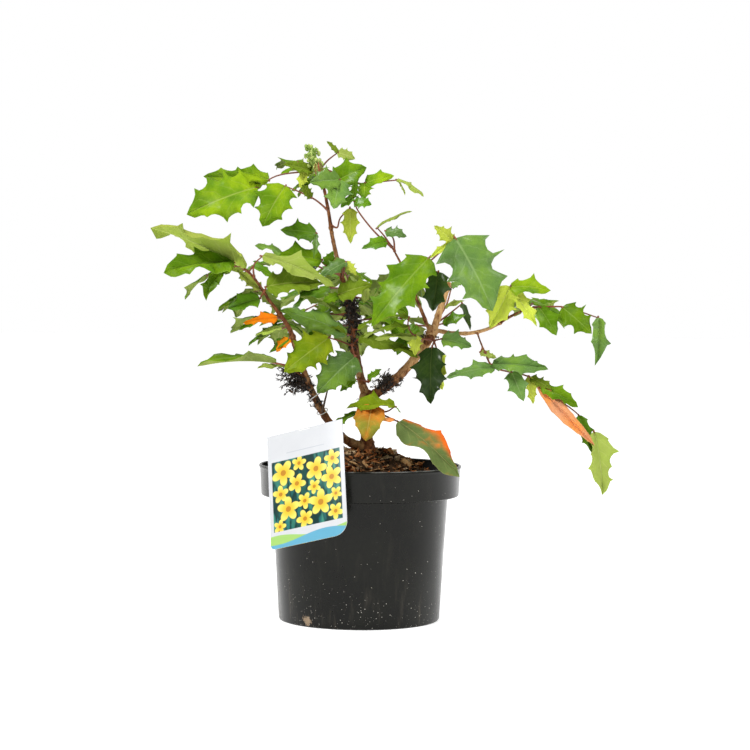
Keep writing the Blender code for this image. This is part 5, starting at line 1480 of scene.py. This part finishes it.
def ring_shape(ring, radius):
    """A closed loop of round section through the points."""
    corners, faces = [], []
    count, sides = len(ring), 6
    centre = sum(ring, Vector()) / count
    for k, point in enumerate(ring):
        ahead = (ring[(k + 1) % count] - ring[k - 1]).normalized()
        out = (point - centre).normalized()
        up = ahead.cross(out).normalized()
        for m in range(sides):
            turn = math.tau * m / sides
            corners.append(point + (out * math.cos(turn) + up * math.sin(turn)) * radius)
    for k in range(count):
        for m in range(sides):
            n, j = (m + 1) % sides, (k + 1) % count
            faces.append((k * sides + m, k * sides + n, j * sides + n, j * sides + m))
    return corners, faces


def turned(name, profile, segments):
    """A turned shell: a flat disc whose edge is drawn up through the profile's rings, closed at the end."""
    bpy.ops.object.select_all(action="DESELECT")
    radius, height = profile[0]
    bpy.ops.mesh.primitive_circle_add(vertices=segments, radius=radius, location=(0, 0, 0), fill_type="NOTHING")
    made = bpy.context.object
    made.name = name
    bpy.ops.object.mode_set(mode="EDIT")
    bpy.ops.transform.translate(value=(0, 0, height))
    for wide, high in profile[1:]:
        bpy.ops.mesh.extrude_edges_move(TRANSFORM_OT_translate={"value": (0, 0, high - height)})
        bpy.ops.transform.resize(value=(wide / radius, wide / radius, 1), center_override=(0, 0, 0))
        radius, height = wide, high
    bpy.ops.mesh.select_all(action="SELECT")
    bpy.ops.mesh.region_to_loop()
    bpy.ops.mesh.edge_face_add()
    bpy.ops.mesh.select_all(action="SELECT")
    bpy.ops.mesh.fill_holes(sides=0)
    bpy.ops.mesh.normals_make_consistent(inside=False)
    bpy.ops.object.mode_set(mode="OBJECT")
    return made


def apply_modifier(made, kind, **settings):
    modifier = made.modifiers.new("shape", kind)
    for name, value in settings.items():
        setattr(modifier, name, value)
    bpy.context.view_layer.objects.active = made
    bpy.ops.object.modifier_apply(modifier=modifier.name)


def build_pot(finishes):
    """The tub: flat floor with drain holes, tapered wall, ledge, stacking collar and rolled lip."""
    inner = BASE_RADIUS - POT_WALL
    profile = [
        (BASE_RADIUS - 0.0020, 0.0), (BASE_RADIUS - 0.0006, 0.0006), (BASE_RADIUS, 0.0020),
        (BASE_RADIUS + 0.0035, 0.0600), (BODY_RADIUS - 0.0002, COLLAR_BOTTOM - 0.0030),
        (BODY_RADIUS + 0.0004, COLLAR_BOTTOM - 0.0006), (BODY_RADIUS + 0.0016, COLLAR_BOTTOM),
        (COLLAR_RADIUS - 0.0010, COLLAR_BOTTOM), (COLLAR_RADIUS - 0.0002, COLLAR_BOTTOM + 0.0006),
        (COLLAR_RADIUS, COLLAR_BOTTOM + 0.0016), (RIM_RADIUS - 0.0002, POT_HEIGHT - 5 * LIP),
        (RIM_RADIUS + 0.0004, POT_HEIGHT - 3.6 * LIP), (RIM_RADIUS + LIP, POT_HEIGHT - 2.8 * LIP),
        (RIM_RADIUS + LIP, POT_HEIGHT - 1.0 * LIP), (RIM_RADIUS + 0.5 * LIP, POT_HEIGHT - 0.25 * LIP),
        (RIM_RADIUS - 0.1 * LIP, POT_HEIGHT), (RIM_RADIUS - 0.0010, POT_HEIGHT - 0.1 * LIP),
        (RIM_RADIUS - POT_WALL, POT_HEIGHT - 0.9 * LIP), (COLLAR_RADIUS - POT_WALL, COLLAR_BOTTOM + 0.0030),
        (COLLAR_RADIUS - POT_WALL - 0.0010, COLLAR_BOTTOM + POT_WALL),
        (BODY_RADIUS - POT_WALL, COLLAR_BOTTOM + POT_WALL), (inner, POT_FLOOR + 0.0012),
        (inner - 0.0012, POT_FLOOR),
    ]
    pot = turned("black_pot", profile, 120)
    holes = []
    for k in range(DRAIN_HOLES):
        turn = math.tau * (k + 0.5) / DRAIN_HOLES
        bpy.ops.object.select_all(action="DESELECT")
        bpy.ops.mesh.primitive_cylinder_add(
            vertices=28, radius=DRAIN_RADIUS, depth=4 * POT_FLOOR,
            location=(DRAIN_CIRCLE * math.cos(turn), DRAIN_CIRCLE * math.sin(turn), POT_FLOOR / 2))
        holes.append(bpy.context.object)
    for hole in holes:
        apply_modifier(pot, "BOOLEAN", operation="DIFFERENCE", object=hole, solver="EXACT")
        bpy.data.objects.remove(hole)
    dress(pot, finishes["pot"], 40)
    return settle(pot, "pot", "pot")


def dress(made, finish, sharp):
    """One finish all over, and smooth faces with crisp edges."""
    made.data.materials.clear()
    made.data.materials.append(finish)
    made.data.shade_smooth()
    made.data.set_sharp_from_angle(angle=math.radians(sharp))


def mulch_height(radius):
    """How high the mulch stands: level along the wall, heaped up round the stems."""
    edge = COLLAR_RADIUS - POT_WALL - GAP
    share = min(1.0, max(0.0, (edge - radius) / (edge - SOIL_FLAT_RADIUS)))
    return SOIL_EDGE + (SOIL_TOP - SOIL_EDGE) * (0.5 - 0.5 * math.cos(math.pi * share))


def build_mulch(finishes):
    """The heap of damp bark: a broken surface, with loose chips lying on it."""
    inset = POT_WALL + GAP
    edge = COLLAR_RADIUS - inset
    ledge = COLLAR_BOTTOM + POT_WALL + GAP
    profile = [(BASE_RADIUS - inset - 0.0010, POT_FLOOR + GAP), (BODY_RADIUS - inset - 0.0008, ledge),
               (edge - 0.0012, ledge), (edge, SOIL_EDGE - 0.0010)]
    rings = 34
    for k in range(1, rings):
        radius = edge * (1 - k / rings)
        profile.append((radius, mulch_height(radius)))
    mulch = turned("mulch", profile, 150)
    for vert in mulch.data.vertices:
        if vert.co.z > SOIL_EDGE - 0.0005:
            lump = noise.noise(vert.co * 130) * 0.0016 + noise.noise(vert.co * 420) * 0.0009
            vert.co.z += min(lump, 0.0018) - 0.0006
    dress(mulch, finishes["mulch_dark"], 70)
    settle(mulch, "mulch", "soil")
    dice = random.Random(404)
    kinds = [finishes["mulch_" + kind] for kind in ("dark", "dark", "brown", "brown", "red", "red", "tan", "pale")]
    sheet = Sheet()
    for _ in range(CHIPS):
        radius = (edge - 0.004) * math.sqrt(dice.random())
        turn = dice.uniform(0, math.tau)
        long = dice.uniform(*CHIP_LONG) * dice.choice((1.0, 0.6, 0.4))
        place = Vector((radius * math.cos(turn), radius * math.sin(turn), mulch_height(radius) + 0.0002))
        tilt = Matrix.Rotation(dice.gauss(0, 0.55), 3, "X") @ Matrix.Rotation(dice.gauss(0, 0.40), 3, "Y")
        lie = Matrix.Rotation(dice.uniform(0, math.tau), 3, "Z") @ tilt
        size = Vector((long, long * dice.uniform(0.16, 0.55), dice.uniform(0.0006, 0.0018)))
        corners = []
        for x, y, z in ((-1, -1, -1), (1, -1, -1), (1, 1, -1), (-1, 1, -1),
                        (-1, -1, 1), (1, -1, 1), (1, 1, 1), (-1, 1, 1)):
            jitter = [c * dice.uniform(0.55, 1.1) / 2 for c in size]
            corners.append(place + lie @ Vector((x * jitter[0], y * jitter[1], z * jitter[2])))
        faces = [(0, 3, 2, 1), (4, 5, 6, 7), (0, 1, 5, 4), (1, 2, 6, 5), (2, 3, 7, 6), (3, 0, 4, 7)]
        sheet.add(corners, faces, dice.choice(kinds))
    return settle(sheet.build("mulch_chips", 30), "mulch", "soil")


def build_label(finishes):
    """The card with its rounded lower corners, and the strip that carries it."""
    across, upright, out = label_axes()
    bpy.ops.object.select_all(action="DESELECT")
    bpy.ops.mesh.primitive_cube_add(size=1)
    card = bpy.context.object
    card.name = "label_card"
    bpy.ops.object.mode_set(mode="EDIT")
    bpy.ops.transform.resize(value=(LABEL_WIDTH, LABEL_HEIGHT, LABEL_THICKNESS), center_override=(0, 0, 0))
    for side, radius in ((1, LABEL_BIG_CORNER), (-1, LABEL_SMALL_CORNER)):
        bpy.ops.mesh.select_all(action="DESELECT")
        shape = bmesh.from_edit_mesh(card.data)
        for edge in shape.edges:
            middle = (edge.verts[0].co + edge.verts[1].co) / 2
            if middle.x * side > 0.9 * LABEL_WIDTH / 2 and middle.y < -0.9 * LABEL_HEIGHT / 2:
                edge.select = True
        bmesh.update_edit_mesh(card.data)
        bpy.ops.mesh.bevel(offset=radius, segments=14, affect="EDGES")
    bpy.ops.object.mode_set(mode="OBJECT")
    apply_modifier(card, "BEVEL", width=0.00015, segments=2, limit_method="ANGLE", angle_limit=math.radians(60))
    layer = card.data.uv_layers.active or card.data.uv_layers.new(name="card")
    layer.name = "card"
    for loop in card.data.loops:
        point = card.data.vertices[loop.vertex_index].co
        layer.data[loop.index].uv = (point.x, point.y) if point.z > 0 else (0.0395, 0.040)
    place = Matrix((across, upright, out)).transposed().to_4x4()
    middle = LABEL_CENTRE - out * LABEL_THICKNESS / 2
    card.data.transform(Matrix.Translation(middle) @ place)
    dress(card, finishes["label"], 40)
    settle(card, "label", "plant_label")
    top = LABEL_CENTRE + upright * (LABEL_HEIGHT / 2 - LABEL_THICKNESS)
    along = (STRIP_FOOT - top).normalized()
    normal = across.cross(along).normalized()
    bpy.ops.object.select_all(action="DESELECT")
    bpy.ops.mesh.primitive_cube_add(size=1)
    strip = bpy.context.object
    strip.name = "label_strip"
    bpy.ops.object.mode_set(mode="EDIT")
    bpy.ops.transform.resize(value=(STRIP_WIDTH, (STRIP_FOOT - top).length, LABEL_THICKNESS),
                             center_override=(0, 0, 0))
    bpy.ops.object.mode_set(mode="OBJECT")
    apply_modifier(strip, "BEVEL", width=0.0002, segments=2, limit_method="ANGLE", angle_limit=math.radians(60))
    place = Matrix((across, along, across.cross(along))).transposed().to_4x4()
    strip.data.transform(Matrix.Translation((top + STRIP_FOOT) / 2) @ place)
    dress(strip, finishes["tie"], 40)
    return settle(strip, "label", "plant_label")


def make_finishes():
    groups = {"mottle": make_mottle_group(), "leaf": make_leaf_group(), "specks": make_specks_group(),
              "flower": make_flower_group()}
    made = {name: leaf_finish("leaf_" + name, tint, groups) for name, tint in TINTS.items()}
    made["underside"] = leaf_finish("leaf_underside", UNDERSIDE, groups)
    made["fresh_underside"] = leaf_finish("leaf_fresh_underside", FRESH_UNDERSIDE, groups)
    made["bark"] = bark_finish(groups)
    made["pot"] = pot_finish(groups)
    made["label"] = label_finish(groups)
    for name, light, dark in (("mulch_dark", (0.055, 0.030, 0.016), (0.012, 0.007, 0.004)),
                              ("mulch_brown", (0.420, 0.180, 0.065), (0.050, 0.021, 0.010)),
                              ("mulch_red", (0.440, 0.150, 0.048), (0.100, 0.032, 0.012)),
                              ("mulch_tan", (0.520, 0.310, 0.140), (0.170, 0.090, 0.040)),
                              ("mulch_pale", (0.620, 0.470, 0.300), (0.260, 0.170, 0.090))):
        made[name] = mulch_finish(groups, name, light, dark)
    for name, *values in (
            ("stalk", (0.270, 0.070, 0.022), (0.130, 0.030, 0.012), 180.0, 0.40, 0.60, 0.4, 0.0003),
            ("scale", (0.030, 0.018, 0.012), (0.008, 0.006, 0.005), 300.0, 0.60, 0.85, 0.5, 0.0003),
            ("scale_pale", (0.120, 0.070, 0.040), (0.030, 0.018, 0.012), 300.0, 0.60, 0.85, 0.5, 0.0003),
            ("bud", (0.330, 0.460, 0.080), (0.140, 0.260, 0.030), 500.0, 0.40, 0.60, 0.3, 0.0002),
            ("bud_pale", (0.560, 0.640, 0.180), (0.300, 0.420, 0.080), 500.0, 0.40, 0.60, 0.3, 0.0002),
            ("bract", (0.300, 0.360, 0.060), (0.200, 0.170, 0.030), 260.0, 0.40, 0.60, 0.3, 0.0002),
            ("bract_red", (0.420, 0.130, 0.045), (0.260, 0.080, 0.030), 260.0, 0.40, 0.60, 0.3, 0.0002),
            ("tie", (0.840, 0.840, 0.830), (0.700, 0.700, 0.690), 90.0, 0.35, 0.50, 0.2, 0.0002)):
        made[name] = plain_finish(name, groups, *values)
    return made


def set_stage():
    """A plain white floor and soft even light."""
    bpy.ops.object.select_all(action="DESELECT")
    bpy.ops.mesh.primitive_plane_add(size=30)
    floor = bpy.context.object
    floor.name = "floor"
    made = bpy.data.materials.new("floor")
    made.use_nodes = True
    shader = made.node_tree.nodes["Principled BSDF"]
    shader.inputs["Base Color"].default_value = (0.93, 0.93, 0.93, 1)
    shader.inputs["Roughness"].default_value = 0.9
    shader.inputs["Emission Color"].default_value = (1, 1, 1, 1)
    shader.inputs["Emission Strength"].default_value = FLOOR_GLOW
    floor.data.materials.append(made)
    world = bpy.data.worlds.new("studio")
    world.use_nodes = True
    recipe = Recipe(world.node_tree)
    sky = world.node_tree.nodes["Background"]
    recipe.feed(sky.inputs["Color"], (1.0, 1.0, 1.0))
    seen = recipe.node("LightPath", {}).outputs["Is Camera Ray"]
    way = recipe.node("TexCoord", {}).outputs["Generated"]
    ahead = recipe.node("SeparateXYZ", {"Vector": way}).outputs["Y"]
    light = recipe.math("MULTIPLY_ADD", recipe.step(ahead, -0.35, 0.55), SKY_BEHIND - SKY_BEFORE, SKY_BEFORE)
    dimmer = recipe.math("SUBTRACT", light, SKY_SEEN)
    recipe.feed(sky.inputs["Strength"], recipe.math("MULTIPLY_ADD", recipe.math("SUBTRACT", 1.0, seen), dimmer,
                                                    SKY_SEEN))
    bpy.context.scene.world = world
    for place, power, size in LAMPS:
        bpy.ops.object.light_add(type="AREA", location=place)
        lamp = bpy.context.object
        lamp.data.energy = power
        lamp.data.size = size
        lamp.rotation_euler = (Vector((0, 0, 0.25)) - Vector(place)).to_track_quat("-Z", "Y").to_euler()
    bpy.context.scene.view_settings.view_transform = "Standard"


def place_camera():
    """The camera where the photograph was taken from."""
    data = bpy.data.cameras.new("camera")
    data.sensor_width = SENSOR_MM
    data.lens = FOCAL_PIXELS / FRAME_PIXELS * SENSOR_MM
    camera = bpy.data.objects.new("camera", data)
    bpy.context.scene.collection.objects.link(camera)
    pitch, roll = math.radians(CAMERA_PITCH), math.radians(CAMERA_ROLL)
    ahead = Vector((0, math.cos(pitch), -math.sin(pitch)))
    right = Vector((1, 0, 0))
    up = right.cross(ahead)
    turned_right = right * math.cos(roll) + up * math.sin(roll)
    turned_up = up * math.cos(roll) - right * math.sin(roll)
    camera.matrix_world = (Matrix.Translation(CAMERA_PLACE)
                           @ Matrix((turned_right, turned_up, -ahead)).transposed().to_4x4())
    bpy.context.scene.camera = camera


def main():
    place_camera()
    finishes = make_finishes()
    grown = grow_plant()
    for name, mass in MASSES.items():
        dress_mass(name, mass, grown[name], finishes)
    build_stems(grown, finishes)
    build_tufts(grown, finishes)
    build_buds(finishes)
    build_ties(grown, finishes)
    build_pot(finishes)
    build_mulch(finishes)
    build_label(finishes)
    set_stage()


main()
